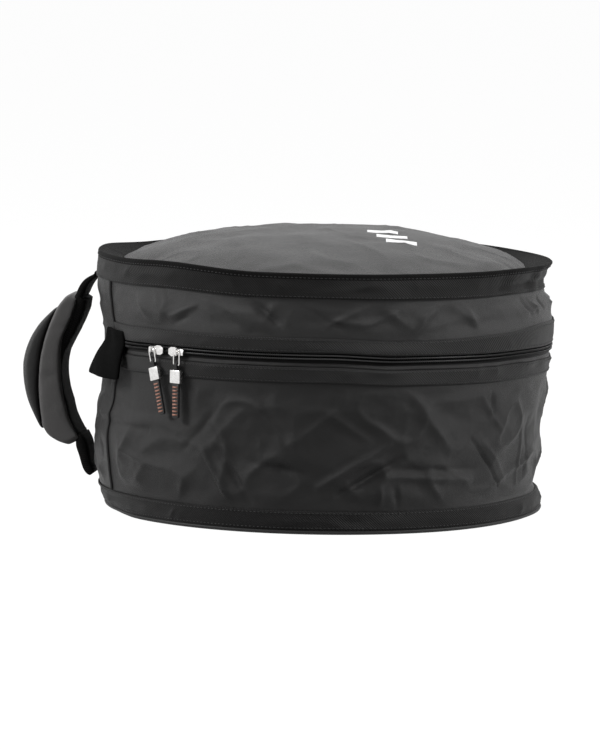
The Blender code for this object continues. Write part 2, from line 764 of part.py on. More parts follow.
def flap_outer(share):
    setbacks = (FLAP_BOTTOM_SETBACK, FLAP_TOP_SETBACK)
    return flap_inner(share) + swell(share, setbacks, FLAP_END_THICKNESS, FLAP_MID_THICKNESS)


def layer_outline(shares, inner_face, outer_face):
    """Outline of a grip layer from its inner and outer face over the webbing's arc."""
    inner = [grip_point(share, inner_face(share)) for share in shares]
    outer = [grip_point(share, outer_face(share)) for share in shares]
    return [tuple(point) for point in inner + outer[::-1]]


def add_grip(grip, turn):
    steps = [i / (GRIP_STATIONS - 1) for i in range(GRIP_STATIONS)]
    webbing = [grip_point(step, 0) for step in steps]
    add_strap("handle_webbing", webbing, WEBBING, WEBBING_WIDTH, "black_webbing", grip, turn)
    shares = [grip_share(PAD_BOTTOM_SETBACK, PAD_TOP_SETBACK, step) for step in steps]
    outline = layer_outline(shares, lambda share: WEBBING / 2 + GAP, pad_outer)
    add_cushion("grip_pad", outline, GRIP_WIDTH, PAD_ROUND, "charcoal_cloth", grip, turn)
    shares = [grip_share(FLAP_BOTTOM_SETBACK, FLAP_TOP_SETBACK, step) for step in steps]
    outline = layer_outline(shares, flap_inner, flap_outer)
    add_cushion("grip_flap", outline, FLAP_WIDTH, FLAP_ROUND, "twill_band", grip, turn)


def add_handle(base, lid):
    turn = turned_to(0)
    top, low = grip_top(), lower_pivot()
    grip = add_pivot("grip_axis", lid, turn @ Matrix.Translation((top.x, 0, top.y)))
    strap = add_pivot("lower_strap_axis", base, turn @ Matrix.Translation((low.x, 0, low.y)))
    seat_radius = ZIP_RADIUS + GAP + WEBBING / 2
    seat_top = Vector((seat_radius, TOP_BAND_LOW - GAP))
    seat_low = seat_top - Vector((0, STRAP_SEAT))
    end = top + (seat_low - top).normalized() * PIVOT_CLEARANCE
    add_strap("handle_upper_strap", [seat_top, seat_low, end], WEBBING, WEBBING_WIDTH,
              "black_webbing", lid, turn)
    add_grip(grip, turn)
    far = grip_bottom() - strap_vector().normalized() * PIVOT_CLEARANCE
    add_strap("handle_lower_strap", [low, far], WEBBING, WEBBING_WIDTH, "black_webbing",
              strap, turn)
    anchor_top = low.y - ANCHOR_CLEARANCE
    stand = -GAP - WEBBING / 2
    anchor = wall_line(stand, BOTTOM_BAND_TOP + GAP, anchor_top)
    add_strap("handle_lower_anchor", anchor, WEBBING, WEBBING_WIDTH, "black_webbing",
              base, turn)


clear_scene()
BAG = new_collection("snare_drum_bag")
CUTTERS = new_collection("cutters")
base_pivot = add_pivot("bag_axis", None, Matrix.Identity(4))
lid_pivot = add_pivot("lid_hinge_axis", base_pivot,
                      turned_to(0) @ Matrix.Translation((ZIP_RADIUS, 0, ZIP_HEIGHT)))
add_base_walls(base_pivot)
add_base_trim(base_pivot)
add_lid_walls(lid_pivot)
add_lid_trim(lid_pivot)
add_zip_row("lower", -1, base_pivot)
add_zip_row("upper", 1, lid_pivot)
add_zip_bands(base_pivot, lid_pivot)
add_zip_stops(base_pivot)
add_zip_tabs(base_pivot)
add_slider_set("front", FRONT_SLIDER_ANGLE, 1, FRONT_BRIDGE_SHIFT, FRONT_PULL_LEAN, base_pivot)
add_slider_set("rear", REAR_SLIDER_ANGLE, -1, REAR_BRIDGE_SHIFT, REAR_PULL_LEAN, base_pivot)
add_handle(base_pivot, lid_pivot)
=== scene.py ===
# Looks of a round padded snare drum bag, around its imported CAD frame.
# Metres, +Z up. An angle round the bag, in degrees, is counted from the handle at -X
# towards the front at -Y, and a height is counted from the floor.

import math

import bmesh
import bpy
import numpy as np
from mathutils import Matrix, Vector, noise


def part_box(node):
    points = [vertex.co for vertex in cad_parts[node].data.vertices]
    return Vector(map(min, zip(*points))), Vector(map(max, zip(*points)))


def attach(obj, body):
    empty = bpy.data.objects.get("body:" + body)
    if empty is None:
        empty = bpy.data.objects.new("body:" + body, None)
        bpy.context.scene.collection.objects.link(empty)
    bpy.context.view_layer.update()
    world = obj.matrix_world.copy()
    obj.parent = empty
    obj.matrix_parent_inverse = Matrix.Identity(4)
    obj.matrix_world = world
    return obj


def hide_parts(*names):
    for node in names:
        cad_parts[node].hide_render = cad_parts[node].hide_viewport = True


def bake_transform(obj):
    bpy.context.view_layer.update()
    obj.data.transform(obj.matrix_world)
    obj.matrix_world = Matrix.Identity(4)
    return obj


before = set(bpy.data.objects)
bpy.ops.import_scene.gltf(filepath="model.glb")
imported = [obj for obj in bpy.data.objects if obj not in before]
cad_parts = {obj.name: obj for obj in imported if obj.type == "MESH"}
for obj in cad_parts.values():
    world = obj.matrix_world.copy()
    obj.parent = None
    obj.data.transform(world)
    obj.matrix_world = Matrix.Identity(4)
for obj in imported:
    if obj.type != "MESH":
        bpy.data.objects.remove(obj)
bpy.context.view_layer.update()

# Sizes that the CAD parts give
ZIP_RADIUS = 0.2005
BOTTOM_RADIUS = 0.1955
ZIP_HEIGHT = 0.1515
RIM_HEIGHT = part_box("rim_binding")[1].z
DOME_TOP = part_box("lid_top_panel")[1].z - 0.0025
DOME_EDGE_HEIGHT = 0.2195
FOOT_BAND_TOP = 0.0200
BASE_CLOTH_TOP = 0.1420
LOWER_BAND_LOW = 0.1290
LID_CLOTH_LOW = 0.1553
UPPER_BAND_TOP = 0.1685
TOP_BAND_LOW = 0.2046
HINGE_HALF_ANGLE = 30
ZIP_END_ANGLE = 36
LINING_DEPTH = 0.0084

# Cloth, bands and thread
CLOTH = 0.0011
BAND = 0.0012
PIPING_RADIUS = 0.0014
SKIN = 0.0004
PAD_STAND = -0.0036
COLUMN_ANGLE = 0.55
WELD = 0.00001
LEVEL_ENOUGH = 0.7
ROW_HEIGHT = 0.0018

# Camera, as the photograph has it
CAMERA_DISTANCE = 5.0
CAMERA_HEIGHT = 0.682
CAMERA_AZIMUTH = 8.0
CAMERA_PITCH = 6.47
CAMERA_ROLL = 0.75
FOCAL_PIXELS = 5680
PICTURE_WIDTH = 600
PICTURE_HEIGHT = 750
AXIS_COLUMN = 324
SENSOR = 36.0


def add_camera():
    data = bpy.data.cameras.new("camera")
    data.sensor_fit = "VERTICAL"
    data.sensor_height = SENSOR
    data.lens = FOCAL_PIXELS * SENSOR / PICTURE_HEIGHT
    data.clip_end = 100
    camera = bpy.data.objects.new("camera", data)
    bpy.context.scene.collection.objects.link(camera)
    azimuth = math.radians(CAMERA_AZIMUTH)
    place = Vector((math.sin(azimuth), -math.cos(azimuth), 0)) * CAMERA_DISTANCE
    place.z = CAMERA_HEIGHT
    aside = math.atan((AXIS_COLUMN - PICTURE_WIDTH / 2) / FOCAL_PIXELS)
    turn = Matrix.Rotation(azimuth + aside, 4, "Z")
    tip = Matrix.Rotation(math.radians(90 - CAMERA_PITCH), 4, "X")
    roll = Matrix.Rotation(math.radians(CAMERA_ROLL), 4, "Z")
    camera.matrix_world = Matrix.Translation(place) @ turn @ tip @ roll
    bpy.context.scene.camera = camera


# Lamps, world and floor

WORLD_LIGHT = 0.10
FLOOR_GLOW = 0.97
FLOOR_SHADE = 0.08
LAMPS = {
    "top_softbox": ((0.0, 0.4, 2.2), 1.4, 24.0),
    "left_softbox": ((-2.4, -0.9, 1.6), 0.9, 72.0),
    "right_softbox": ((2.4, -0.3, 1.6), 0.9, 62.0),
}
LAMP_AIM = Vector((0, 0, 0.12))


def white_to_the_eye(nodes, links):
    """1 where the camera, a reflection or a refraction looks, and 0 for plain light."""
    path = nodes.new("ShaderNodeLightPath")
    first = nodes.new("ShaderNodeMath")
    first.operation = "MAXIMUM"
    links.new(path.outputs["Is Camera Ray"], first.inputs[0])
    links.new(path.outputs["Is Glossy Ray"], first.inputs[1])
    second = nodes.new("ShaderNodeMath")
    second.operation = "MAXIMUM"
    links.new(first.outputs[0], second.inputs[0])
    links.new(path.outputs["Is Transmission Ray"], second.inputs[1])
    return second.outputs[0]


def add_world():
    world = bpy.data.worlds.new("studio")
    bpy.context.scene.world = world
    world.use_nodes = True
    nodes, links = world.node_tree.nodes, world.node_tree.links
    light = nodes["Background"]
    light.inputs["Color"].default_value = (1, 1, 1, 1)
    light.inputs["Strength"].default_value = WORLD_LIGHT
    seen = nodes.new("ShaderNodeBackground")
    seen.inputs["Color"].default_value = (1, 1, 1, 1)
    seen.inputs["Strength"].default_value = 1.0
    mix = nodes.new("ShaderNodeMixShader")
    links.new(white_to_the_eye(nodes, links), mix.inputs[0])
    links.new(light.outputs[0], mix.inputs[1])
    links.new(seen.outputs[0], mix.inputs[2])
    links.new(mix.outputs[0], nodes["World Output"].inputs["Surface"])


def add_lamps():
    for name, (place, size, power) in LAMPS.items():
        data = bpy.data.lights.new(name, "AREA")
        data.size = size
        data.energy = power
        lamp = bpy.data.objects.new(name, data)
        bpy.context.scene.collection.objects.link(lamp)
        way = LAMP_AIM - Vector(place)
        lamp.matrix_world = Matrix.Translation(place) @ way.to_track_quat("-Z", "Y").to_matrix().to_4x4()


def add_floor():
    """A white floor that keeps a soft shadow."""
    mesh = bpy.data.meshes.new("floor")
    half = 30.0
    mesh.from_pydata([(-half, -half, 0), (half, -half, 0), (half, half, 0), (-half, half, 0)],
                     [], [(0, 1, 2, 3)])
    floor = bpy.data.objects.new("floor", mesh)
    bpy.context.scene.collection.objects.link(floor)
    material = bpy.data.materials.new("pale_floor")
    material.use_nodes = True
    nodes, links = material.node_tree.nodes, material.node_tree.links
    nodes.remove(nodes["Principled BSDF"])
    shade = nodes.new("ShaderNodeBsdfDiffuse")
    shade.inputs["Color"].default_value = (FLOOR_SHADE, FLOOR_SHADE, FLOOR_SHADE, 1)
    glow = nodes.new("ShaderNodeEmission")
    strength = nodes.new("ShaderNodeMath")
    strength.operation = "MULTIPLY"
    strength.inputs[1].default_value = FLOOR_GLOW
    links.new(white_to_the_eye(nodes, links), strength.inputs[0])
    links.new(strength.outputs[0], glow.inputs["Strength"])
    both = nodes.new("ShaderNodeAddShader")
    links.new(shade.outputs[0], both.inputs[0])
    links.new(glow.outputs[0], both.inputs[1])
    links.new(both.outputs[0], nodes["Material Output"].inputs["Surface"])
    mesh.materials.append(material)


# Materials

class Recipe:
    """A material's node tree, with short ways to add its nodes."""

    def __init__(self, name):
        self.material = bpy.data.materials.new(name)
        self.material.use_nodes = True
        self.nodes = self.material.node_tree.nodes
        self.links = self.material.node_tree.links
        self.shader = self.nodes["Principled BSDF"]

    def put(self, socket, value):
        if hasattr(value, "links"):
            self.links.new(value, socket)
        else:
            socket.default_value = value

    def math(self, operation, first, second=0.0, third=0.0):
        node = self.nodes.new("ShaderNodeMath")
        node.operation = operation
        for socket, value in zip(node.inputs, (first, second, third)):
            self.put(socket, value)
        return node.outputs[0]

    def place(self):
        """Object coordinates, in metres."""
        return self.nodes.new("ShaderNodeTexCoord").outputs["Object"]

    def along(self):
        """The piece's own cloth coordinates: metres along and across, as two values."""
        uv = self.nodes.new("ShaderNodeUVMap")
        uv.uv_map = "cloth"
        parts = self.nodes.new("ShaderNodeSeparateXYZ")
        self.links.new(uv.outputs[0], parts.inputs[0])
        return parts.outputs[0], parts.outputs[1]

    def clouds(self, scale, detail=3.0, roughness=0.5, vector=None):
        node = self.nodes.new("ShaderNodeTexNoise")
        node.inputs["Scale"].default_value = scale
        node.inputs["Detail"].default_value = detail
        node.inputs["Roughness"].default_value = roughness
        self.links.new(vector or self.place(), node.inputs["Vector"])
        return node.outputs[0]

    def ramp(self, value, stops):
        node = self.nodes.new("ShaderNodeValToRGB")
        elements = node.color_ramp.elements
        while len(elements) < len(stops):
            elements.new(0.5)
        for element, (spot, colour) in zip(elements, stops):
            element.position = spot
            element.color = (*colour, 1)
        self.put(node.inputs[0], value)
        return node.outputs[0]

    def bump(self, height, strength, distance, before=None):
        node = self.nodes.new("ShaderNodeBump")
        node.inputs["Strength"].default_value = strength
        node.inputs["Distance"].default_value = distance
        self.put(node.inputs["Height"], height)
        if before:
            self.links.new(before, node.inputs["Normal"])
        return node.outputs[0]

    def finish(self, colour, roughness, normal=None, **fixed):
        self.put(self.shader.inputs["Base Color"], colour)
        self.put(self.shader.inputs["Roughness"], roughness)
        if normal:
            self.links.new(normal, self.shader.inputs["Normal"])
        for socket, value in fixed.items():
            self.shader.inputs[socket.replace("_", " ")].default_value = value
        return self.material


def grey(value, tint=0.0):
    """A near-black cloth colour, a little warm."""
    return (value * (1 + tint), value, value * (1 - 0.2 * tint))


WEAVE_PITCH = 0.00070
TAPE_PITCH = 0.00110
TWILL_PITCH = 0.00230
WEBBING_PITCH = 0.00190


def weave_height(recipe, pitch):
    """Plain weave: warp and weft threads that rise in turn."""
    u, v = recipe.along()
    turns = math.tau / pitch
    a = recipe.math("SINE", recipe.math("MULTIPLY", u, turns))
    b = recipe.math("SINE", recipe.math("MULTIPLY", v, turns))
    return recipe.math("MULTIPLY", a, b)


def twill_height(recipe, pitch, lean=1.0):
    """Ribs that run across the cloth at an angle."""
    u, v = recipe.along()
    turns = math.tau / pitch
    diagonal = recipe.math("ADD", u, recipe.math("MULTIPLY", v, lean))
    return recipe.math("SINE", recipe.math("MULTIPLY", diagonal, turns))


def woven(name, dark, light, pitch, height_maker, roughness, marked=0.16, **fixed):
    """Woven cloth: thread relief, slubs, and a soft wear along its patches."""
    recipe = Recipe(name)
    threads = height_maker(recipe, pitch)
    slubs = recipe.clouds(900, 2.0)
    patches = recipe.clouds(22, 4.0, 0.6)
    shade = recipe.math("MULTIPLY_ADD", threads, marked, patches)
    colour = recipe.ramp(shade, ((0.25, grey(dark, 0.03)), (0.75, grey(light, 0.03))))
    relief = recipe.math("MULTIPLY_ADD", slubs, 0.5, threads)
    fine = recipe.bump(relief, 0.55, pitch * 0.17)
    soft = recipe.bump(recipe.clouds(60, 3.0), 0.35, 0.0020, fine)
    rough = recipe.math("MULTIPLY_ADD", patches, 0.16, roughness)
    return recipe.finish(colour, rough, soft, **fixed)


def charcoal_cloth():
    return woven("charcoal_cloth", 0.0068, 0.0134, WEAVE_PITCH, weave_height, 0.40,
                 Specular_IOR_Level=0.21, Sheen_Weight=0.06, Sheen_Roughness=0.45)


# A lighter, glossier copy of the charcoal cloth for the lid's wall and top: painted light, since the lid's
# cloth is the same charcoal as the base's.
def lid_charcoal_cloth():
    return woven("lid_charcoal_cloth", 0.0072, 0.0140, WEAVE_PITCH, weave_height, 0.39,
                 Specular_IOR_Level=0.28, Sheen_Weight=0.08, Sheen_Roughness=0.45)


def zip_twill():
    return woven("zip_twill", 0.0030, 0.0135, TWILL_PITCH, twill_height, 0.47, 0.30,
                 Specular_IOR_Level=0.20, Sheen_Weight=0.05, Sheen_Roughness=0.5)


def twill_band():
    return woven("twill_band", 0.0024, 0.0125, TWILL_PITCH, twill_height, 0.48, 0.30,
                 Specular_IOR_Level=0.13, Sheen_Weight=0.03, Sheen_Roughness=0.5)


# The rim's dark binding: partly the binding's own dark cloth, partly painted shade under the dome's overhanging
# edge.
def rim_binding_cloth():
    return woven("rim_binding_cloth", 0.0022, 0.0068, TWILL_PITCH, twill_height, 0.60, 0.25,
                 Specular_IOR_Level=0.06)


def lining_cloth():
    return woven("lining_cloth", 0.010, 0.016, WEAVE_PITCH, weave_height, 0.40,
                 Specular_IOR_Level=0.40)


def webbing_height(recipe, pitch):
    """Herringbone: ribs that turn back along the middle of the strap."""
    u, v = recipe.along()
    turns = math.tau / pitch
    folded = recipe.math("PINGPONG", recipe.math("ADD", v, 1.0), pitch * 3)
    diagonal = recipe.math("ADD", u, folded)
    return recipe.math("SINE", recipe.math("MULTIPLY", diagonal, turns))


def black_webbing():
    return woven("black_webbing", 0.0040, 0.0095, WEBBING_PITCH, webbing_height, 0.70,
                 Specular_IOR_Level=0.06)


def zip_nylon():
    return woven("zip_nylon", 0.0030, 0.0080, TAPE_PITCH, twill_height, 0.50,
                 Specular_IOR_Level=0.10)


def black_plush():
    recipe = Recipe("black_plush")
    pile = recipe.clouds(700, 3.0, 0.6)
    colour = recipe.ramp(pile, ((0.3, grey(0.0016)), (0.8, grey(0.0060))))
    normal = recipe.bump(pile, 0.8, 0.0006)
    return recipe.finish(colour, 0.95, normal, Specular_IOR_Level=0.04)


def piping_cloth():
    recipe = Recipe("piping_cloth")
    fuzz = recipe.clouds(800, 2.0)
    colour = recipe.ramp(fuzz, ((0.3, grey(0.0040)), (0.8, grey(0.0095))))
    normal = recipe.bump(fuzz, 0.5, 0.0003)
    return recipe.finish(colour, 0.6, normal, Specular_IOR_Level=0.3)


def thread_finish():
    recipe = Recipe("sewing_thread")
    twist = recipe.clouds(1500, 1.0)
    colour = recipe.ramp(twist, ((0.3, grey(0.006)), (0.8, grey(0.013))))
    return recipe.finish(colour, 0.5, recipe.bump(twist, 0.4, 0.0001), Specular_IOR_Level=0.4)


def silver_metal():
    recipe = Recipe("silver_metal")
    brush = recipe.clouds(420, 3.0, 0.7)
    colour = recipe.ramp(brush, ((0.2, (0.62, 0.61, 0.60)), (0.8, (0.80, 0.79, 0.78))))
    rough = recipe.math("MULTIPLY_ADD", brush, 0.22, 0.14)
    return recipe.finish(colour, rough, recipe.bump(brush, 0.15, 0.0001), Metallic=1.0)


def moulded_rubber():
    recipe = Recipe("moulded_rubber")
    grain = recipe.clouds(900, 2.0)
    colour = recipe.ramp(grain, ((0.3, grey(0.006)), (0.8, grey(0.012))))
    return recipe.finish(colour, 0.45, recipe.bump(grain, 0.3, 0.0001), Specular_IOR_Level=0.4)


def amber_rubber():
    recipe = Recipe("amber_rubber")
    grain = recipe.clouds(900, 2.0)
    colour = recipe.ramp(grain, ((0.3, (0.30, 0.120, 0.080)), (0.8, (0.52, 0.270, 0.200))))
    return recipe.finish(colour, 0.45, recipe.bump(grain, 0.3, 0.0001), Specular_IOR_Level=0.4)


def pale_paint():
    recipe = Recipe("pale_paint")
    worn = recipe.clouds(260, 4.0, 0.65)
    colour = recipe.ramp(worn, ((0.25, (0.60, 0.60, 0.60)), (0.6, (0.86, 0.86, 0.86))))
    return recipe.finish(colour, 0.55, recipe.bump(worn, 0.3, 0.0002), Specular_IOR_Level=0.3)


MATERIALS = {}


def material(maker):
    """Each finish is made once."""
    if maker not in MATERIALS:
        MATERIALS[maker] = maker()
    return MATERIALS[maker]


# Shape of the wall

def smooth(low, high, value):
    """0 at low, 1 at high, and smooth between."""
    share = min(max((value - low) / (high - low), 0), 1)
    return share * share * (3 - 2 * share)


def table(stops, value):
    """A smooth line through stops of (value, height)."""
    if value <= stops[0][0]:
        return stops[0][1]
    for (a, low), (b, high) in zip(stops, stops[1:]):
        if value <= b:
            return low + (high - low) * smooth(a, b, value)
    return stops[-1][1]


# How far the real bag's lines wander from level, in metres over the angle
ZIP_LINE = ((36, 0.0), (54, 0.0012), (99, 0.0016), (117, -0.0012), (150, -0.0030),
            (188, -0.0060), (230, -0.0015), (290, 0.0), (324, 0.0))
# How far the upper band's top seam rises at the right
BAND_LINE = ((125, 0.0), (150, 0.0030), (170, 0.0075), (192, 0.0075), (235, 0.0))
RIM_LINE = ((0, -0.0015), (36, -0.0010), (56, 0.0012), (82, -0.0028), (115, -0.0036),
            (150, -0.0046), (188, -0.0075), (212, -0.0080), (250, -0.0060), (300, -0.0050),
            (330, -0.0060), (360, -0.0015))

# How far the wall stands proud or sags, in metres over the height
LEFT_SWELL = ((0.0, -0.0055), (0.012, -0.0012), (0.022, 0.0018), (0.040, 0.0040), (0.066, 0.0052),
              (0.086, 0.0026), (0.104, -0.0026), (0.125, -0.0062), (0.155, -0.0060),
              (0.180, -0.0018), (0.198, 0.0004), (0.2275, -0.0012))
RIGHT_SWELL = ((0.0, -0.0040), (0.014, -0.0050), (0.024, -0.0100), (0.066, -0.0060),
               (0.105, -0.0022), (0.140, -0.0024), (0.155, -0.0004), (0.166, 0.0008),
               (0.184, -0.0030), (0.200, -0.0066), (0.211, -0.0100), (0.219, -0.0064),
               (0.2275, -0.0012))
# Seams that hold the cloth, and how far from them it is free
SEAM_HEIGHTS = (0.0, FOOT_BAND_TOP, LOWER_BAND_LOW, ZIP_HEIGHT, UPPER_BAND_TOP, TOP_BAND_LOW,
                RIM_HEIGHT)
SEAM_REACH = 0.016

# Creases: first end and second end as (angle, height), half width, height of the fold
CREASES = (
    ((138.5, 0.080), (151.5, 0.034), 0.0030, -0.0026),
    ((141.5, 0.080), (154.5, 0.038), 0.0065, 0.0012),
    ((97.0, 0.040), (114.5, 0.078), 0.0075, 0.0034),
    ((102.0, 0.034), (118.0, 0.066), 0.0070, -0.0034),
    ((114.0, 0.050), (142.0, 0.043), 0.0060, 0.0018),
    ((116.0, 0.057), (140.0, 0.053), 0.0075, -0.0016),
    ((112.5, 0.040), (112.6, 0.023), 0.0040, 0.0026),
    ((116.5, 0.040), (117.0, 0.023), 0.0050, -0.0026),
    ((144.8, 0.122), (146.5, 0.094), 0.0045, -0.0016),
    ((141.0, 0.118), (149.0, 0.086), 0.0060, 0.0016),
    ((160.6, 0.095), (162.0, 0.034), 0.0050, 0.0012),
    ((165.0, 0.090), (166.0, 0.040), 0.0060, -0.0010),
    ((98.0, 0.106), (109.0, 0.082), 0.0080, 0.0016),
    ((122.0, 0.112), (131.0, 0.074), 0.0110, 0.0016),
    ((67.0, 0.070), (75.0, 0.022), 0.0055, 0.0026),
    ((71.0, 0.070), (80.0, 0.026), 0.0060, -0.0026),
    ((61.5, 0.068), (73.0, 0.112), 0.0075, -0.0018),
    ((66.0, 0.064), (79.0, 0.108), 0.0090, 0.0009),
    ((21.5, 0.086), (56.0, 0.088), 0.0070, 0.0022),
    ((24.0, 0.080), (54.0, 0.081), 0.0070, -0.0022),
    ((38.0, 0.060), (54.0, 0.048), 0.0060, 0.0018),
    ((22.0, 0.066), (25.0, 0.048), 0.0060, -0.0014),
    ((80.0, 0.060), (94.0, 0.052), 0.0090, -0.0028),
    ((83.0, 0.104), (90.0, 0.070), 0.0100, -0.0020),
    ((54.5, 0.206), (56.6, 0.190), 0.0038, -0.0022),
    ((51.0, 0.200), (54.0, 0.186), 0.0050, 0.0016),
    ((57.0, 0.180), (64.5, 0.192), 0.0042, 0.0024),
    ((58.0, 0.174), (62.0, 0.181), 0.0040, -0.0026),
    ((79.0, 0.206), (88.0, 0.176), 0.0090, -0.0034),
    ((72.0, 0.200), (79.0, 0.176), 0.0080, 0.0018),
    ((99.0, 0.180), (108.0, 0.198), 0.0060, 0.0022),
    ((91.0, 0.201), (103.0, 0.177), 0.0060, -0.0022),
    ((113.0, 0.196), (120.0, 0.178), 0.0090, 0.0014),
    ((131.0, 0.199), (139.0, 0.181), 0.0080, 0.0012),
    ((158.0, 0.200), (163.0, 0.180), 0.0060, -0.0026),
    ((163.0, 0.198), (168.0, 0.182), 0.0050, 0.0024),
    ((170.0, 0.200), (173.0, 0.184), 0.0050, -0.0022),
)
BACK_CREASES = 34
BACK_SPAN = (176, 376)
BACK_HEIGHTS = ((0.028, 0.112), (0.176, 0.200))
CREASE_SHARPNESS = 1.8
CREASE_GAIN = 1.25
FACET_SIZE = 0.044
FACET_DEPTH = 0.0050
SMALL_FACET_SIZE = 0.019
SMALL_FACET_DEPTH = 0.0011
RIDGE_SIZE = 0.060
RIDGE_DEPTH = 0.0022
WAVE_SIZE = 0.090
WAVE_DEPTH = 0.0022
# Where the pulls hang, the cloth stays flat
PULL_SPANS = ((38, 62), (310, 328))
PULL_HEIGHTS = (0.090, 0.146)


def more_creases():
    """Creases for the sides that the photograph doesn't show."""
    picker = np.random.default_rng(7)
    made = []
    for low, high in BACK_HEIGHTS:
        reach = high - low
        for _ in range(BACK_CREASES if reach > 0.05 else BACK_CREASES // 2):
            angle = picker.uniform(*BACK_SPAN)
            height = picker.uniform(low, high)
            lean = picker.uniform(-12, 12)
            drop = picker.uniform(0.25, 0.5) * reach
            half_width = picker.uniform(0.0045, 0.0085)
            depth = picker.uniform(0.0012, 0.0028) * picker.choice((-1, 1))
            low_end = max(height - drop, low)
            made.append(((angle % 360, height), (angle % 360 + lean, low_end), half_width, depth))
    return made


ALL_CREASES = list(CREASES) + more_creases()


def crease_height(angle, height):
    """Sum of the folds near a point of the wall."""
    total = 0.0
    for (a1, h1), (a2, h2), half_width, depth in ALL_CREASES:
        x = math.radians((angle - a1 + 180) % 360 - 180) * ZIP_RADIUS
        if abs(x) > 0.09:
            continue
        y = height - h1
        dx = math.radians(a2 - a1) * ZIP_RADIUS
        dy = h2 - h1
        length_squared = dx * dx + dy * dy
        share = (x * dx + y * dy) / length_squared
        held = min(max(share, 0), 1)
        away = math.hypot(x - held * dx, y - held * dy)
        if away < half_width:
            taper = 0.45 + 0.55 * math.sin(math.pi * held)
            total += depth * taper * (1 - away / half_width) ** CREASE_SHARPNESS
    return total * CREASE_GAIN


def ridge_height(point):
    """Sharp, wandering lines where crumpled cloth has been folded."""
    line = max(1 - abs(noise.noise(point / RIDGE_SIZE)) * 4, 0)
    return line * line


def facet_height(point, size):
    """Flat facets with ridges between them, like cloth that has been folded small."""
    near = noise.voronoi(point / size, distance_metric="DISTANCE")[0][0]
    return math.sqrt(near * near + 0.02) - 0.5


def freedom(height):
    """0 on the seams and 1 away from them."""
    nearest = min(abs(height - seam) for seam in SEAM_HEIGHTS)
    return smooth(0.001, SEAM_REACH, nearest)


def calm(angle, height):
    """0 where the pulls hang, and 1 elsewhere."""
    away = 1.0
    for low, high in PULL_SPANS:
        inside = smooth(low - 8, low, angle) * smooth(high + 8, high, angle)
        level = smooth(PULL_HEIGHTS[0] - 0.02, PULL_HEIGHTS[0], height)
        level *= smooth(PULL_HEIGHTS[1] + 0.02, PULL_HEIGHTS[1], height)
        away = min(away, 1 - inside * level)
    return away


def low_wall(height):
    """1 below the handle's grip, where the cloth may swell behind the strap, and 0 above."""
    return smooth(0.105, 0.080, height)


def swell(angle, height):
    """How far the cloth stands outside the CAD wall."""
    angle = angle % 360
    from_handle = min(angle, 360 - angle)
    at_strap = smooth(5, 13, from_handle) + (1 - smooth(5, 13, from_handle)) * low_wall(height)
    right = smooth(125, 165, angle) * smooth(245, 205, angle)
    at_left = table(LEFT_SWELL, height)
    left = at_strap * smooth(75, 35, from_handle) if at_left > 0 else smooth(44, 28, from_handle)
    total = left * at_left + right * table(RIGHT_SWELL, height)
    a = math.radians(angle)
    spot = Vector((-math.cos(a) * ZIP_RADIUS, -math.sin(a) * ZIP_RADIUS, height * 1.3))
    free = freedom(height)
    waves = noise.noise(spot / WAVE_SIZE) * WAVE_DEPTH
    drift = noise.noise_vector(spot / 0.05) * 0.012
    facets = facet_height(spot + drift, FACET_SIZE) * FACET_DEPTH
    facets += facet_height(spot + drift * 0.5, SMALL_FACET_SIZE) * SMALL_FACET_DEPTH
    facets += ridge_height(spot + drift) * RIDGE_DEPTH
    folds = crease_height(angle, height)
    loose = at_strap * calm(angle, height)
    loose *= 0.25 + 0.75 * smooth(1.0, 7.0, abs(from_handle - HINGE_HALF_ANGLE))
    total += loose * free * (waves + facets)
    total += loose * (0.25 + 0.75 * free) * folds
    if height > TOP_BAND_LOW - 0.004:
        total += rim_pleats(angle, height)
    return total


def rim_pleats(angle, height):
    """Gathers in the rim's band, strongest at the front right."""
    rise = smooth(TOP_BAND_LOW - 0.004, TOP_BAND_LOW + 0.004, height)
    rise *= smooth(RIM_HEIGHT + 0.004, RIM_HEIGHT - 0.010, height)
    tight = 0.25 + 0.75 * smooth(140, 152, angle) * smooth(190, 172, angle)
    ripple = math.sin(math.radians(angle) * 26 + 2.5 * noise.noise(Vector((angle / 14, 0, 3))))
    return 0.0011 * rise * tight * ripple


def level(angle, height):
    """A height on the real bag, whose zip and rim aren't quite level."""
    angle = angle % 360
    zip_shift = table(ZIP_LINE, angle)
    rim_shift = table(RIM_LINE, angle)
    if height <= ZIP_HEIGHT:
        return height + zip_shift * height / ZIP_HEIGHT
    share = (height - ZIP_HEIGHT) / (RIM_HEIGHT - ZIP_HEIGHT)
    lift = table(BAND_LINE, angle) * smooth(ZIP_HEIGHT + 0.004, UPPER_BAND_TOP, height)
    lift *= smooth(TOP_BAND_LOW, UPPER_BAND_TOP, height)
    return height + zip_shift * (1 - share) + rim_shift * share + lift


WALL_POINTS = {}


def wall_swell(angle, height):
    key = (round(angle % 360, 3), round(height, 5))
    if key not in WALL_POINTS:
        WALL_POINTS[key] = swell(*key)
    return WALL_POINTS[key]


def wall_radius(height):
    return BOTTOM_RADIUS + (ZIP_RADIUS - BOTTOM_RADIUS) * min(max(height / ZIP_HEIGHT, 0), 1)


def round_point(radius, angle, height):
    a = math.radians(angle)
    return Vector((-radius * math.cos(a), -radius * math.sin(a), height))


def wall_point(angle, height, stand=0.0):
    """A point on the wall's cloth, or that far outside it."""
    radius = wall_radius(height) + wall_swell(angle, height) + stand
    return round_point(radius, angle, level(angle, height))


# Making pieces

def new_piece(name, mesh, maker, smooth_shading=True):
    piece = bpy.data.objects.new(name, mesh)
    bpy.context.scene.collection.objects.link(piece)
    mesh.materials.append(material(maker))
    if smooth_shading:
        mesh.shade_smooth()
    return piece


def settle(piece):
    """Turns a piece and its modifiers into a plain mesh."""
    bpy.context.view_layer.update()
    graph = bpy.context.evaluated_depsgraph_get()
    mesh = bpy.data.meshes.new_from_object(piece.evaluated_get(graph), depsgraph=graph)
    mesh.name = piece.name
    old = piece.data
    piece.modifiers.clear()
    piece.data = mesh
    if old.users == 0:
        bpy.data.meshes.remove(old)
    return piece


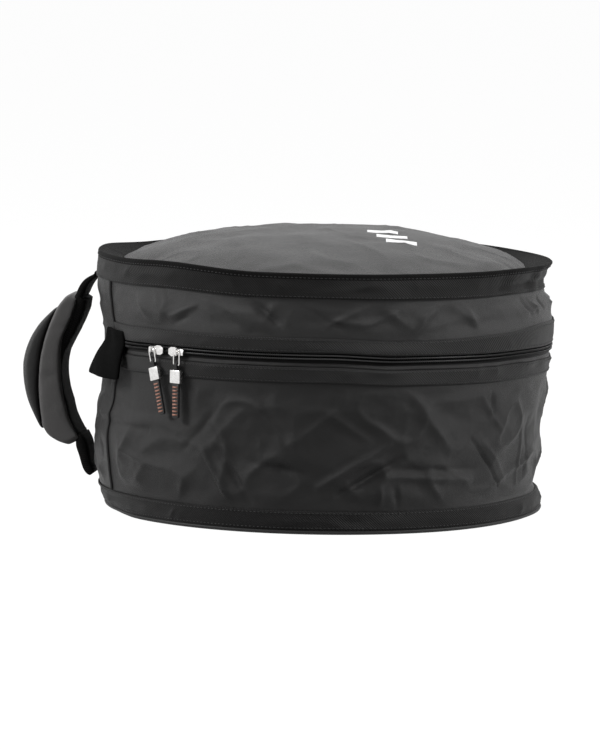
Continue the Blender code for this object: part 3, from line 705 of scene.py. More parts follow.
def spread(start, end, step):
    """Evenly spaced values from start to end, both kept."""
    count = max(round(abs(end - start) / step), 1)
    return [start + (end - start) * i / count for i in range(count + 1)]


def lattice(name, rows, closed_along=False, closed_across=False, caps=False):
    """A mesh from rows of points, with cloth coordinates in metres."""
    across, along = len(rows), len(rows[0])
    points = [point for row in rows for point in row]
    faces, coordinates = [], []
    run = [0.0]
    middle = rows[across // 2]
    for a, b in zip(middle, middle[1:] + middle[:1]):
        run.append(run[-1] + (b - a).length)
    climb = [0.0]
    first = [row[0] for row in rows]
    for a, b in zip(first, first[1:] + first[:1]):
        climb.append(climb[-1] + (b - a).length)
    for j in range(across if closed_across else across - 1):
        for i in range(along if closed_along else along - 1):
            i2, j2 = (i + 1) % along, (j + 1) % across
            faces.append((j * along + i, j * along + i2, j2 * along + i2, j2 * along + i))
            coordinates += [(run[i], climb[j]), (run[i + 1], climb[j]),
                            (run[i + 1], climb[j + 1]), (run[i], climb[j + 1])]
    if caps:
        for i in (0, along - 1):
            ring = [j * along + i for j in range(across)]
            faces.append(tuple(ring[::-1] if i else ring))
            coordinates += [(rows[j][i].x, rows[j][i].z) for j in (range(across)[::-1] if i else range(across))]
    mesh = bpy.data.meshes.new(name)
    mesh.from_pydata(points, [], faces)
    layer = mesh.uv_layers.new(name="cloth")
    layer.data.foreach_set("uv", [value for pair in coordinates for value in pair])
    return mesh


def close_centre(mesh):
    """Welds the rings that meet at the axis, and lays straight cloth on what lies flat."""
    shape = bmesh.new()
    shape.from_mesh(mesh)
    bmesh.ops.remove_doubles(shape, verts=shape.verts, dist=WELD)
    loose = [edge for edge in shape.edges if not edge.link_faces]
    bmesh.ops.delete(shape, geom=loose, context="EDGES")
    bmesh.ops.recalc_face_normals(shape, faces=shape.faces)
    shape.to_mesh(mesh)
    shape.free()
    layer = mesh.uv_layers["cloth"]
    for face in mesh.polygons:
        if abs(face.normal.z) > LEVEL_ENOUGH:
            for corner in face.loop_indices:
                spot = mesh.vertices[mesh.loops[corner].vertex_index].co
                layer.data[corner].uv = (spot.x, spot.y)


def wall_cloth(name, low, high, span, maker, thickness=CLOTH, stand=0.0, step=ROW_HEIGHT,
               edge_roll=0.0):
    """Cloth on the wall between two heights, thickened inwards."""
    angles = spread(*span, COLUMN_ANGLE)
    rows = []
    for height in spread(low, high, step):
        near = min(height - low, high - height)
        tuck = edge_roll * (1 - min(near / (2 * step), 1)) ** 2
        rows.append([wall_point(angle, height, stand - tuck) for angle in angles])
    whole = abs(span[1] - span[0] - 360) < 0.01
    if whole:
        rows = [row[:-1] for row in rows]
    piece = new_piece(name, lattice(name, rows, closed_along=whole), maker)
    shell = piece.modifiers.new("thickness", "SOLIDIFY")
    shell.thickness = thickness
    shell.offset = -1
    return settle(piece)


def wall_section(name, section, span, maker, step=COLUMN_ANGLE):
    """A closed section of (stand, height) points, clockwise from outside, swept round the wall."""
    angles = spread(*span, step)
    whole = abs(span[1] - span[0] - 360) < 0.01
    if whole:
        angles = angles[:-1]
    rows = [[wall_point(angle, height, stand) for angle in angles] for stand, height in section]
    mesh = lattice(name, rows, closed_along=whole, closed_across=True, caps=not whole)
    return new_piece(name, mesh, maker)


def tube(name, points, radius, maker, sides=8, closed=False):
    """A round tube along points."""
    curve = bpy.data.curves.new(name, "CURVE")
    curve.dimensions = "3D"
    curve.bevel_depth = radius
    curve.bevel_resolution = sides // 2 - 2
    curve.use_fill_caps = not closed
    spline = curve.splines.new("POLY")
    spline.points.add(len(points) - 1)
    for control, point in zip(spline.points, points):
        control.co = (*point, 1)
    spline.use_cyclic_u = closed
    drawn = bpy.data.objects.new(name, curve)
    bpy.context.scene.collection.objects.link(drawn)
    bpy.context.view_layer.update()
    graph = bpy.context.evaluated_depsgraph_get()
    mesh = bpy.data.meshes.new_from_object(drawn.evaluated_get(graph), depsgraph=graph)
    bpy.data.objects.remove(drawn, do_unlink=True)
    return new_piece(name, mesh, maker)


def dress(piece, body, slot_name, *nodes):
    """Rides a finished piece on its body and takes the place of CAD nodes."""
    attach(piece, body)
    finish_dress(piece, slot_name, *nodes)
    return piece


def finish_dress(piece, slot_name, *nodes):
    if nodes:
        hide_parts(*nodes)


# Base and lid walls

def add_wall_cloths():
    front = (HINGE_HALF_ANGLE, 360 - HINGE_HALF_ANGLE)
    base = wall_cloth("base_cloth", 0.0015, BASE_CLOTH_TOP, front, charcoal_cloth)
    dress(base, "base", "charcoal_cloth", "base_side_panel")
    # The lid's wall takes the lighter copy of the charcoal cloth: painted light.
    lid = wall_cloth("lid_cloth", LID_CLOTH_LOW, RIM_HEIGHT - 0.003, front, lid_charcoal_cloth)
    dress(lid, "lid", "charcoal_cloth", "lid_side_panel")


def add_hinge_cloth():
    """One cloth behind the handle, across the hinge line."""
    span = (-HINGE_HALF_ANGLE + 0.2, HINGE_HALF_ANGLE - 0.2)
    cloth = wall_cloth("hinge_cloth", 0.0015, RIM_HEIGHT - 0.003, span, charcoal_cloth)
    finish_dress(cloth, "charcoal_cloth", "hinge_panel_lower", "hinge_panel_upper")
    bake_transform(cloth)


def band_section(low, high, stand, thickness, rows=5):
    """A flat band's section with rolled edges, clockwise from outside."""
    roll = thickness / 2
    outer = [(stand + thickness, height) for height in spread(low + roll, high - roll,
                                                              (high - low) / rows)]
    inner = [(stand, height) for height in spread(high - roll, low + roll, (high - low) / rows)]
    return [(stand + roll, low), *outer, (stand + roll, high), *inner]


def add_bands():
    front = (HINGE_HALF_ANGLE, 360 - HINGE_HALF_ANGLE)
    lower = wall_section("zip_band_lower_cloth",
                         band_section(LOWER_BAND_LOW, BASE_CLOTH_TOP + 0.0008, SKIN, BAND),
                         front, zip_twill)
    dress(lower, "base", "twill_band", "zip_band_lower")
    upper = wall_section("zip_band_upper_cloth",
                         band_section(LID_CLOTH_LOW - 0.0004, UPPER_BAND_TOP, SKIN, BAND),
                         front, zip_twill)
    dress(upper, "lid", "twill_band", "zip_band_upper")
    foot = wall_section("foot_band_cloth", band_section(0.0030, FOOT_BAND_TOP, SKIN, BAND, 8),
                        (0, 360), twill_band)
    dress(foot, "base", "twill_band", "bottom_band")


# The dome's edge: how far it lies inside the wall and under the rim, in metres over the angle.
# At the front it nearly meets the rim, and behind and at the sides the rim stands up as a collar.
EDGE_REACH = ((0, 0.0205), (18, 0.0225), (36, 0.0190), (52, 0.0105), (66, 0.0060),
              (120, 0.0056), (150, 0.0095), (170, 0.0180), (190, 0.0185), (215, 0.0130),
              (240, 0.0115), (320, 0.0150), (345, 0.0190), (360, 0.0205))
EDGE_DROP = ((0, 0.0090), (34, 0.0075), (62, 0.0026), (120, 0.0022), (150, 0.0036),
             (172, 0.0058), (212, 0.0062), (240, 0.0085), (320, 0.0085), (360, 0.0090))
RIM_LIP = 0.0030
# How far down from the rim the dark binding reaches: binding cloth and painted shade under the dome's edge.
BINDING_AND_SHADE = 0.0042
TUCK = 1.35


def edge_reach(angle):
    return table(EDGE_REACH, angle % 360)


def edge_drop(angle):
    return table(EDGE_DROP, angle % 360)


def add_rim_hem():
    """A band sewn round the rim, folded over it and slanting in to the dome's seam."""
    outside = BAND + SKIN
    lip = outside - RIM_LIP
    top = RIM_HEIGHT
    angles = spread(0, 360 - COLUMN_ANGLE, COLUMN_ANGLE)
    outer = [(outside, height) for height in spread(TOP_BAND_LOW, top - 0.0016, 0.0020)]
    outer += [(outside - 0.0003, top - 0.0006), (outside - 0.0011, top), (lip + 0.0008, top),
              (lip, top - 0.0008)]
    rows = [[wall_point(a, height, stand) for a in angles] for stand, height in outer]
    for share in spread(0.12, TUCK, 0.18):
        rows.append([wall_point(a, top - 0.0008 - (edge_drop(a) - 0.0008) * share,
                                lip - (edge_reach(a) + lip) * share) for a in angles])
    for back, height in ((0.5, DOME_EDGE_HEIGHT - 0.0050), (0.0, TOP_BAND_LOW + 0.0100)):
        rows.append([wall_point(a, height, SKIN - edge_reach(a) * back) for a in angles])
    rows.append([wall_point(a, TOP_BAND_LOW, SKIN) for a in angles])
    mesh = lattice("rim_hem", rows, closed_along=True, closed_across=True)
    hem = new_piece("rim_hem", mesh, twill_band)
    # The top of the band takes the dark binding cloth, which is partly painted shade under the dome's edge.
    mesh.materials.append(material(rim_binding_cloth))
    rows_below_binding_and_shade = sum(1 for _, height in outer if height < top - BINDING_AND_SHADE)
    for face in mesh.polygons:
        face.material_index = int(rows_below_binding_and_shade <= face.index // len(angles) + 1 < len(rows) - 1)
    dress(hem, "lid", "twill_band", "top_edge_band", "rim_inner_band", "rim_binding")


def add_foot_piping():
    points = [wall_point(angle, 0.0022, 0.0014) for angle in spread(0, 357.6, 2.4)]
    piping = tube("foot_piping", points, PIPING_RADIUS, piping_cloth, closed=True)
    dress(piping, "base", "black_webbing", "bottom_piping")


def add_seam_pipings():
    for side, angle in (("front", HINGE_HALF_ANGLE), ("rear", -HINGE_HALF_ANGLE)):
        for part, body, low, high in (("lower", "base", 0.021, ZIP_HEIGHT - 0.001),
                                      ("upper", "lid", ZIP_HEIGHT + 0.001, TOP_BAND_LOW)):
            points = [wall_point(angle, height, 0.0006) for height in spread(low, high, 0.003)]
            name = f"seam_piping_{part}_{side}"
            piece = tube("hinge_" + name, points, PIPING_RADIUS, piping_cloth)
            dress(piece, body, "black_webbing", name)


# Padding and lining

def add_base_pad():
    """Foam between the cloth and the lining, one closed cup with a soft upper edge."""
    outside = PAD_STAND
    inside = -LINING_DEPTH - 0.0008
    top = ZIP_HEIGHT - 0.009
    angles = spread(0, 358.8, 1.2)
    section = [(outside, height) for height in spread(0.0015, top - 0.002, 0.006)]
    section += [(outside - 0.0012, top - 0.0004), ((outside + inside) / 2, top),
                (inside + 0.0012, top - 0.0004)]
    section += [(inside, height) for height in spread(top - 0.002, 0.0160, 0.006)]
    rows = [[wall_point(a, h, stand) for a in angles] for stand, h in section]
    floor = 0.0112
    for share in (0.985, 0.955, *spread(0.90, 0.0, 0.06)):
        radius = wall_radius(floor) + inside
        rise = 0.0030 * smooth(0.955, 1.0, share) + 0.0010 * math.sin(share * 9)
        rows.append([round_point(radius * share, a, floor + max(rise, 0)) for a in angles])
    rows += [[round_point(foot_radius(a) * share, a, 0.0010) for a in angles]
             for share in (0.0, 0.3, 0.6, 0.9, 0.975)]
    mesh = lattice("base_pad", rows, closed_along=True, closed_across=True)
    close_centre(mesh)
    pad = new_piece("base_pad", mesh, lining_cloth)
    dress(pad, "base", "lining_cloth", "base_side_padding", "base_lining", "bottom_padding")


def foot_radius(angle):
    """The wall's own edge at the floor, where it sags or swells."""
    return BOTTOM_RADIUS - 0.0004 + wall_swell(angle, 0.0022)


def add_bottom_cloth():
    angles = spread(0, 358.8, 1.2)
    rows = [[round_point(foot_radius(a) * share, a, 0.0) for a in angles]
            for share in (1.0, 0.9, 0.7, 0.5, 0.3, 0.1, 0.0)]
    rows += [[round_point(foot_radius(a) * share, a, 0.0009) for a in angles]
             for share in (0.0, 0.1, 0.3, 0.5, 0.7, 0.9, 0.998)]
    mesh = lattice("bottom_cloth", rows[::-1], closed_along=True, closed_across=True)
    close_centre(mesh)
    cloth = new_piece("bottom_cloth", mesh, charcoal_cloth)
    dress(cloth, "base", "charcoal_cloth", "bottom_panel")


DOME_PLEATS = 31
DOME_ROUNDNESS = 2.7


def dome_height(share, angle):
    """Height of the top cloth: domed, drawn in along its seam, and softly uneven."""
    edge_height = level(angle, RIM_HEIGHT - edge_drop(angle))
    spot = round_point(ZIP_RADIUS * share, angle, 0)
    waves = noise.noise(spot / 0.085) * 0.0020 + noise.noise(spot / 0.035) * 0.0009
    facets = facet_height(spot, 0.055) * 0.0022 + ridge_height(spot) * 0.0011
    near_edge = smooth(0.84, 0.97, share) * smooth(1.0, 0.975, share)
    wander = 9 * noise.noise(Vector((angle / 22, 1, 0)))
    depth = 0.0009 * (0.4 + 0.6 * noise.noise(Vector((angle / 15, 4, 0))))
    pleats = depth * near_edge * math.sin(math.radians(angle) * DOME_PLEATS + wander)
    dome = edge_height + (DOME_TOP - edge_height) * (1 - share ** DOME_ROUNDNESS)
    return dome + smooth(1.0, 0.9, share) * (waves + facets) + pleats


def dome_edge(angle):
    """The radius of the top cloth's seam."""
    height = RIM_HEIGHT - edge_drop(angle)
    return wall_radius(height) - edge_reach(angle) - SKIN + wall_swell(angle, height)


def dome_rows(shares, drop, angles):
    rows = []
    for share in shares:
        row = []
        for angle in angles:
            steady = ZIP_RADIUS - LINING_DEPTH
            edge = steady + (dome_edge(angle) - steady) * share ** 4
            row.append(round_point(edge * share, angle, dome_height(share, angle) - drop))
        rows.append(row)
    return rows


DOME_SHARES = (0.0, 0.03, 0.06, 0.1, 0.15, 0.2, 0.25, 0.3, 0.35, 0.4, 0.45, 0.5, 0.55, 0.6, 0.65,
               0.7, 0.74, 0.78, 0.82, 0.85, 0.88, 0.905, 0.925, 0.945, 0.96, 0.97, 0.98, 0.99, 1.0)


def add_top_cloth():
    angles = spread(0, 359, 1.0)
    upper = dome_rows(DOME_SHARES, 0.0, angles)
    lower = dome_rows(DOME_SHARES, CLOTH, angles)
    mesh = lattice("top_cloth", (upper[::-1] + lower), closed_along=True, closed_across=True)
    close_centre(mesh)
    # The top cloth takes the lighter copy of the charcoal cloth: painted light.
    cloth = new_piece("top_cloth", mesh, lid_charcoal_cloth)
    dress(cloth, "lid", "charcoal_cloth", "lid_top_panel")


PAD_SHOULDER = 0.2130


def add_lid_pad():
    """Foam in the lid's wall and top, one closed cup upside down."""
    outside = PAD_STAND
    inside = -LINING_DEPTH - 0.0008
    low = ZIP_HEIGHT + 0.009
    angles = spread(0, 358.8, 1.2)
    shares = (0.975, 0.95, *spread(0.90, 0.0, 0.06))
    rows = [[wall_point(a, h, inside) for a in angles] for h in spread(0.2080, low + 0.002, 0.006)]
    rows.append([wall_point(a, low + 0.0004, inside + 0.0012) for a in angles])
    rows.append([wall_point(a, low, (inside + outside) / 2) for a in angles])
    rows.append([wall_point(a, low + 0.0004, outside - 0.0012) for a in angles])
    rows += [[wall_point(a, h, outside) for a in angles]
             for h in spread(low + 0.002, PAD_SHOULDER, 0.006)]
    rows += dome_rows(shares, CLOTH + 0.0006, angles)
    rows += dome_rows(shares[:1:-1], CLOTH + 0.0070, angles)
    mesh = lattice("lid_pad", rows, closed_along=True, closed_across=True)
    close_centre(mesh)
    pad = new_piece("lid_pad", mesh, lining_cloth)
    dress(pad, "lid", "lining_cloth", "lid_side_padding", "lid_lining", "lid_top_padding")


# What repeats: stitches, zip teeth and ribs, set along lines by Geometry Nodes

SMALL_SHAPES = []


def row_tree():
    """Sets a small shape along lines, turned along them and away from the bag's axis."""
    tree = bpy.data.node_groups.new("set_along_lines", "GeometryNodeTree")
    for name, kind in (("Lines", "NodeSocketGeometry"), ("Pitch", "NodeSocketFloat"),
                       ("Shape", "NodeSocketObject"), ("Finish", "NodeSocketMaterial")):
        tree.interface.new_socket(name, in_out="INPUT", socket_type=kind)
    tree.interface.new_socket("Row", in_out="OUTPUT", socket_type="NodeSocketGeometry")
    nodes, links = tree.nodes, tree.links
    given = nodes.new("NodeGroupInput")
    result = nodes.new("NodeGroupOutput")
    curve = nodes.new("GeometryNodeMeshToCurve")
    even = nodes.new("GeometryNodeResampleCurve")
    even.mode = "LENGTH"
    shape = nodes.new("GeometryNodeObjectInfo")
    along = nodes.new("FunctionNodeAlignRotationToVector")
    along.axis = "X"
    tangent = nodes.new("GeometryNodeInputTangent")
    spot = nodes.new("GeometryNodeInputPosition")
    level_way = nodes.new("ShaderNodeVectorMath")
    level_way.operation = "MULTIPLY"
    level_way.inputs[1].default_value = (1, 1, 0)
    outward = nodes.new("FunctionNodeAlignRotationToVector")
    outward.axis = "Z"
    outward.pivot_axis = "X"
    placed = nodes.new("GeometryNodeInstanceOnPoints")
    real = nodes.new("GeometryNodeRealizeInstances")
    finished = nodes.new("GeometryNodeSetMaterial")
    links.new(given.outputs["Lines"], curve.inputs["Mesh"])
    links.new(curve.outputs["Curve"], even.inputs["Curve"])
    links.new(given.outputs["Pitch"], even.inputs["Length"])
    links.new(given.outputs["Shape"], shape.inputs["Object"])
    links.new(tangent.outputs[0], along.inputs["Vector"])
    links.new(spot.outputs[0], level_way.inputs[0])
    links.new(along.outputs[0], outward.inputs["Rotation"])
    links.new(level_way.outputs[0], outward.inputs["Vector"])
    links.new(even.outputs["Curve"], placed.inputs["Points"])
    links.new(shape.outputs["Geometry"], placed.inputs["Instance"])
    links.new(outward.outputs[0], placed.inputs["Rotation"])
    links.new(placed.outputs["Instances"], real.inputs["Geometry"])
    links.new(real.outputs["Geometry"], finished.inputs["Geometry"])
    links.new(given.outputs["Finish"], finished.inputs["Material"])
    links.new(finished.outputs["Geometry"], result.inputs["Row"])
    return tree


def small_shape(name, add_primitive, scale):
    """A small shape for the rows, which doesn't stay in the scene."""
    add_primitive()
    shape = bpy.context.object
    shape.name = name
    shape.data.transform(Matrix.Diagonal((*scale, 1)))
    shape.data.shade_smooth()
    SMALL_SHAPES.append(shape)
    return shape


def set_along(name, lines, pitch, shape, maker):
    """A plain mesh of a small shape repeated along lines of points."""
    points, edges = [], []
    for line in lines:
        start = len(points)
        points += [tuple(point) for point in line]
        edges += [(start + i, start + i + 1) for i in range(len(line) - 1)]
    mesh = bpy.data.meshes.new(name)
    mesh.from_pydata(points, edges, [])
    piece = new_piece(name, mesh, maker)
    tree = bpy.data.node_groups.get("set_along_lines") or row_tree()
    rows = piece.modifiers.new("rows", "NODES")
    rows.node_group = tree
    given = {item.name: item.identifier for item in tree.interface.items_tree
             if item.in_out == "INPUT"}
    rows[given["Pitch"]] = pitch
    rows[given["Shape"]] = shape
    rows[given["Finish"]] = material(maker)
    return settle(piece)


def sphere_primitive():
    bpy.ops.mesh.primitive_uv_sphere_add(segments=6, ring_count=4, radius=1)


def tooth_primitive():
    bpy.ops.mesh.primitive_torus_add(major_segments=9, minor_segments=5, major_radius=1,
                                     minor_radius=0.36, rotation=(0, math.pi / 2, 0))
    bpy.ops.object.transform_apply(location=False, rotation=True, scale=False)


def rib_primitive():
    bpy.ops.mesh.primitive_cube_add(size=2)


STITCH_LENGTH = 0.0026
STITCH_PITCH = 0.0036
THREAD = 0.00034


def wall_line(height, stand, span, step=1.0):
    return [wall_point(angle, height, stand) for angle in spread(*span, step)]


def add_wall_stitches(stitch):
    on_band = BAND + SKIN + THREAD * 0.4
    front = (HINGE_HALF_ANGLE + 0.6, 360 - HINGE_HALF_ANGLE - 0.6)
    base_lines = [wall_line(LOWER_BAND_LOW + 0.0018, on_band, front),
                  wall_line(BASE_CLOTH_TOP - 0.0012, on_band, front),
                  wall_line(FOOT_BAND_TOP - 0.0018, on_band, (0, 360)),
                  wall_line(0.0056, on_band, (0, 360))]
    dress(set_along("base_stitches", base_lines, STITCH_PITCH, stitch, thread_finish),
          "base", "twill_band")
    lid_lines = [wall_line(LID_CLOTH_LOW + 0.0016, on_band, front),
                 wall_line(UPPER_BAND_TOP - 0.0018, on_band, front),
                 wall_line(TOP_BAND_LOW + 0.0018, on_band, (0, 360)),
                 wall_line(RIM_HEIGHT - 0.0040, on_band, (0, 360))]
    dress(set_along("lid_stitches", lid_lines, STITCH_PITCH, stitch, thread_finish),
          "lid", "twill_band")


# Zip

COIL_STAND = 0.0003
COIL_OFFSET = 0.0015
COIL_SIZE = 0.00125
TOOTH_PITCH = 0.0018
LOWER_TAPE = ((-0.0014, 0.1320), (-0.0014, 0.1416), (0.0004, 0.1430), (0.0004, 0.1446),
              (-0.0006, 0.1462), (-0.0012, 0.1480), (-0.0013, 0.1511), (-0.0021, 0.1511),
              (-0.0020, 0.1470), (-0.0022, 0.1430), (-0.0022, 0.1320))
FOLD_ROWS = 4
UPPER_TAPE = ((-0.0022, 0.1700), (-0.0022, 0.1560), (-0.0021, 0.1519), (-0.0013, 0.1519),
              (-0.0012, 0.1560), (-0.0014, 0.1700))


def add_zip(tooth):
    front = (HINGE_HALF_ANGLE, 360 - HINGE_HALF_ANGLE)
    lower = wall_section("zip_tape_lower_cloth", LOWER_TAPE, front, zip_nylon)
    face_outwards(lower)
    lower.data.materials.append(material(charcoal_cloth))
    across = len(lower.data.polygons) // len(LOWER_TAPE)
    for face in lower.data.polygons:
        face.material_index = int(face.index < across * FOLD_ROWS)
    dress(lower, "base", "zip_nylon", "zip_tape_lower")
    upper = wall_section("zip_tape_upper_cloth", UPPER_TAPE, front, zip_nylon)
    face_outwards(upper)
    dress(upper, "lid", "zip_nylon", "zip_tape_upper")
    span = (ZIP_END_ANGLE, 360 - ZIP_END_ANGLE)
    for side, way, body in (("lower", -1, "base"), ("upper", 1, "lid")):
        line = wall_line(ZIP_HEIGHT + way * COIL_OFFSET, COIL_STAND, span)
        teeth = set_along(f"zip_teeth_{side}", [line], TOOTH_PITCH, tooth, coil_nylon)
        dress(teeth, body, "zip_nylon", f"zip_coil_{side}")
        core = tube(f"zip_core_{side}", line, COIL_SIZE * 0.7, coil_nylon, sides=6)
        dress(core, body, "zip_nylon")


def coil_nylon():
    recipe = Recipe("coil_nylon")
    grain = recipe.clouds(900, 2.0)
    colour = recipe.ramp(grain, ((0.3, grey(0.005)), (0.8, grey(0.011))))
    return recipe.finish(colour, 0.36, recipe.bump(grain, 0.2, 0.0001), Specular_IOR_Level=0.5)


# Plush tabs over the zip's ends: (height, stand, middle, half width), the last two in degrees
TAB_ROWS = ((0.1628, 0.0020, 31.6, 6.0), (0.1622, 0.0038, 31.6, 6.7),
            (0.1595, 0.0044, 31.5, 6.9), (0.1560, 0.0044, 31.3, 7.2),
            (0.1515, 0.0044, 31.1, 7.6), (0.1460, 0.0052, 30.9, 8.0),
            (0.1400, 0.0068, 30.7, 8.5), (0.1340, 0.0088, 30.6, 9.0),
            (0.1285, 0.0106, 30.6, 9.3), (0.1235, 0.0118, 30.6, 9.5),
            (0.1212, 0.0120, 30.6, 9.2), (0.1204, 0.0114, 30.6, 8.6))
TAB_CLOTH = 0.0034
REAR_TAB = 0.86
TAB_COLUMNS = 13


def add_tabs():
    for side, way, narrower in (("front", 1, 1.0), ("rear", -1, REAR_TAB)):
        rows = []
        for height, stand, middle, half in TAB_ROWS[::-1]:
            row = []
            for step in spread(-1, 1, 2 / (TAB_COLUMNS - 1)):
                angle = way * middle + step * half * narrower
                wave = 0.0008 * math.sin(step * 5 + height * 160)
                curl = -0.0018 * step * step
                sewn = wall_swell(angle, height) * smooth(0.138, 0.154, height)
                away = ZIP_RADIUS + stand + wave + curl + sewn + 0.0012
                row.append(round_point(away, angle, height))
            rows.append(row)
        name = f"zip_tab_{side}_plush"
        tab = new_piece(name, lattice(name, rows), black_plush)
        pile = tab.modifiers.new("thickness", "SOLIDIFY")
        pile.thickness = TAB_CLOTH
        pile.offset = -1
        rounded = tab.modifiers.new("rounded", "SUBSURF")
        rounded.levels = rounded.render_levels = 2
        settle(tab)
        dress(tab, "base", "black_plush", f"zip_tab_{side}")


# Sliders and pulls: the CAD shapes, with their edges rounded

def face_outwards(piece):
    shape = bmesh.new()
    shape.from_mesh(piece.data)
    bmesh.ops.recalc_face_normals(shape, faces=shape.faces)
    shape.to_mesh(piece.data)
    shape.free()
    return piece


def finished_copy(node, name, rounding, maker):
    """A merged copy of a CAD node, with rounded edges."""
    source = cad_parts[node]
    mesh = source.data.copy()
    mesh.materials.clear()
    shape = bmesh.new()
    shape.from_mesh(mesh)
    bmesh.ops.remove_doubles(shape, verts=shape.verts, dist=0.00001)
    bmesh.ops.dissolve_limit(shape, angle_limit=math.radians(3), verts=shape.verts,
                             edges=shape.edges)
    for edge in shape.edges:
        edge.smooth = True
    shape.to_mesh(mesh)
    shape.free()
    piece = new_piece(name, mesh, maker)
    bevel = piece.modifiers.new("rounded", "BEVEL")
    bevel.width = rounding
    bevel.segments = 2
    bevel.limit_method = "ANGLE"
    bevel.harden_normals = True
    return settle(piece)


LINK_PIVOT = 0.20535
LINK_LENGTH = 0.0112
# Where each pull hangs: angle, shift along the slider, lean
PULL_PLACES = {"front": (53.0, -0.0050, 15.0), "rear": (59.4, 0.0020, 0.0)}
RIB_TOP = -0.0190
RIB_LOW = -0.0428
RIB_FACE = 0.00125
RIB_PITCH = 0.0028


def pull_matrix(side):
    angle, shift, lean = PULL_PLACES[side]
    turn = Matrix.Rotation(math.radians(180 + angle), 4, "Z")
    spot = Matrix.Translation((LINK_PIVOT, shift, ZIP_HEIGHT))
    leaned = Matrix.Rotation(math.radians(lean), 4, "X")
    return turn @ spot @ leaned @ Matrix.Translation((0, 0, -LINK_LENGTH))


def add_sliders(rib):
    for side in ("front", "rear"):
        for part, body, rounding, maker, slot_name in (
                ("slider", "slider", 0.00035, silver_metal, "silver_metal"),
                ("pull_ferrule", "pull", 0.00020, silver_metal, "silver_metal"),
                ("pull_strap", "pull", 0.00045, moulded_rubber, "moulded_rubber"),
                ("pull_loop", "pull", 0.00020, piping_cloth, "black_webbing")):
            node = f"{side}_{part}"
            dress(finished_copy(node, node + "_finished", rounding, maker),
                  f"{side}_{body}", slot_name, node)
        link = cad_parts[f"{side}_link"]
        link.data.materials.clear()
        link.data.materials.append(material(silver_metal))
        place = pull_matrix(side)
        line = [place @ Vector((RIB_FACE, 0, z)) for z in spread(RIB_TOP, RIB_LOW, 0.004)]
        ribs = set_along(f"{side}_pull_ribs", [line], RIB_PITCH, rib, amber_rubber)
        dress(ribs, f"{side}_pull", "moulded_rubber")
    for side in ("front", "rear"):
        node = f"zip_stop_{side}"
        dress(finished_copy(node, node + "_finished", 0.0003, silver_metal), "base",
              "silver_metal", node)


# Handle, drawn in the side view as (distance from the axis, height)

GRIP_TOP = Vector((0.2200, 0.1825))
GRIP_LOW = Vector((0.2177, 0.0585))
GRIP_SAGITTA = 0.0175
WEBBING = 0.0028
WEBBING_HALF = 0.0190
PAD_HALF = 0.0222
FLAP_HALF = 0.0185


def smooth_path(points, steps=6):
    """A smooth line through points of the side view."""
    points = [Vector(point) for point in points]
    ends = [2 * points[0] - points[1], *points, 2 * points[-1] - points[-2]]
    path = []
    for a, b, c, d in zip(ends, ends[1:], ends[2:], ends[3:]):
        for step in range(steps):
            t = step / steps
            path.append(0.5 * (2 * b + (c - a) * t + (2 * a - 5 * b + 4 * c - d) * t * t
                               + (3 * b - a - 3 * c + d) * t ** 3))
    return path + [points[-1]]


def grip_arc():
    chord = GRIP_TOP - GRIP_LOW
    half = chord.length / 2
    up = chord.normalized()
    out = Vector((up.y, -up.x))
    radius = (half ** 2 + GRIP_SAGITTA ** 2) / (2 * GRIP_SAGITTA)
    centre = (GRIP_TOP + GRIP_LOW) / 2 - out * (radius - GRIP_SAGITTA)
    return centre, radius, out, up, math.asin(half / radius)


def grip_point(share, offset=0.0):
    centre, radius, out, up, half_angle = grip_arc()
    a = half_angle * (2 * share - 1)
    return centre + (radius + offset) * (math.cos(a) * out + math.sin(a) * up)


def stuffed(name, stations, maker, ring=24):
    """A closed form along a line: each station is (middle, way out, half width, half depth,
    squareness), and its first and last are closed."""
    rows = []
    for step in range(ring):
        t = math.tau * step / ring
        row = []
        for middle, out, half_width, half_depth, square in stations:
            c, s = math.cos(t), math.sin(t)
            across = math.copysign(abs(c) ** (2 / square), c) * half_width
            deep = math.copysign(abs(s) ** (2 / square), s) * half_depth
            spot = middle + out * deep
            row.append(Vector((-spot.x, across, spot.y)))
        rows.append(row)
    mesh = lattice(name, rows, closed_across=True, caps=True)
    return face_outwards(new_piece(name, mesh, maker))


def puff(piece, pressure, shrink, cap, frames=18):
    """Swells a stuffed piece like cloth over its filling."""
    scene = bpy.context.scene
    rest = np.array([v.co for v in piece.data.vertices])
    cloth = piece.modifiers.new("filling", "CLOTH")
    cloth.settings.quality = 6
    cloth.settings.mass = 0.15
    cloth.settings.use_pressure = True
    cloth.settings.uniform_pressure_force = pressure
    cloth.settings.shrink_min = shrink
    cloth.settings.effector_weights.gravity = 0
    for step in range(1, frames + 1):
        scene.frame_set(step)
    graph = bpy.context.evaluated_depsgraph_get()
    moved = np.array([v.co for v in piece.evaluated_get(graph).data.vertices])
    piece.modifiers.clear()
    scene.frame_set(1)
    shift = moved - rest
    far = np.linalg.norm(shift, axis=1, keepdims=True)
    shift *= np.minimum(1, cap / np.maximum(far, 1e-9))
    piece.data.vertices.foreach_set("co", (rest + shift).ravel())
    piece.data.update()
    return piece


def soften(piece, levels=1):
    rounded = piece.modifiers.new("rounded", "SUBSURF")
    rounded.levels = rounded.render_levels = levels
    return settle(piece)


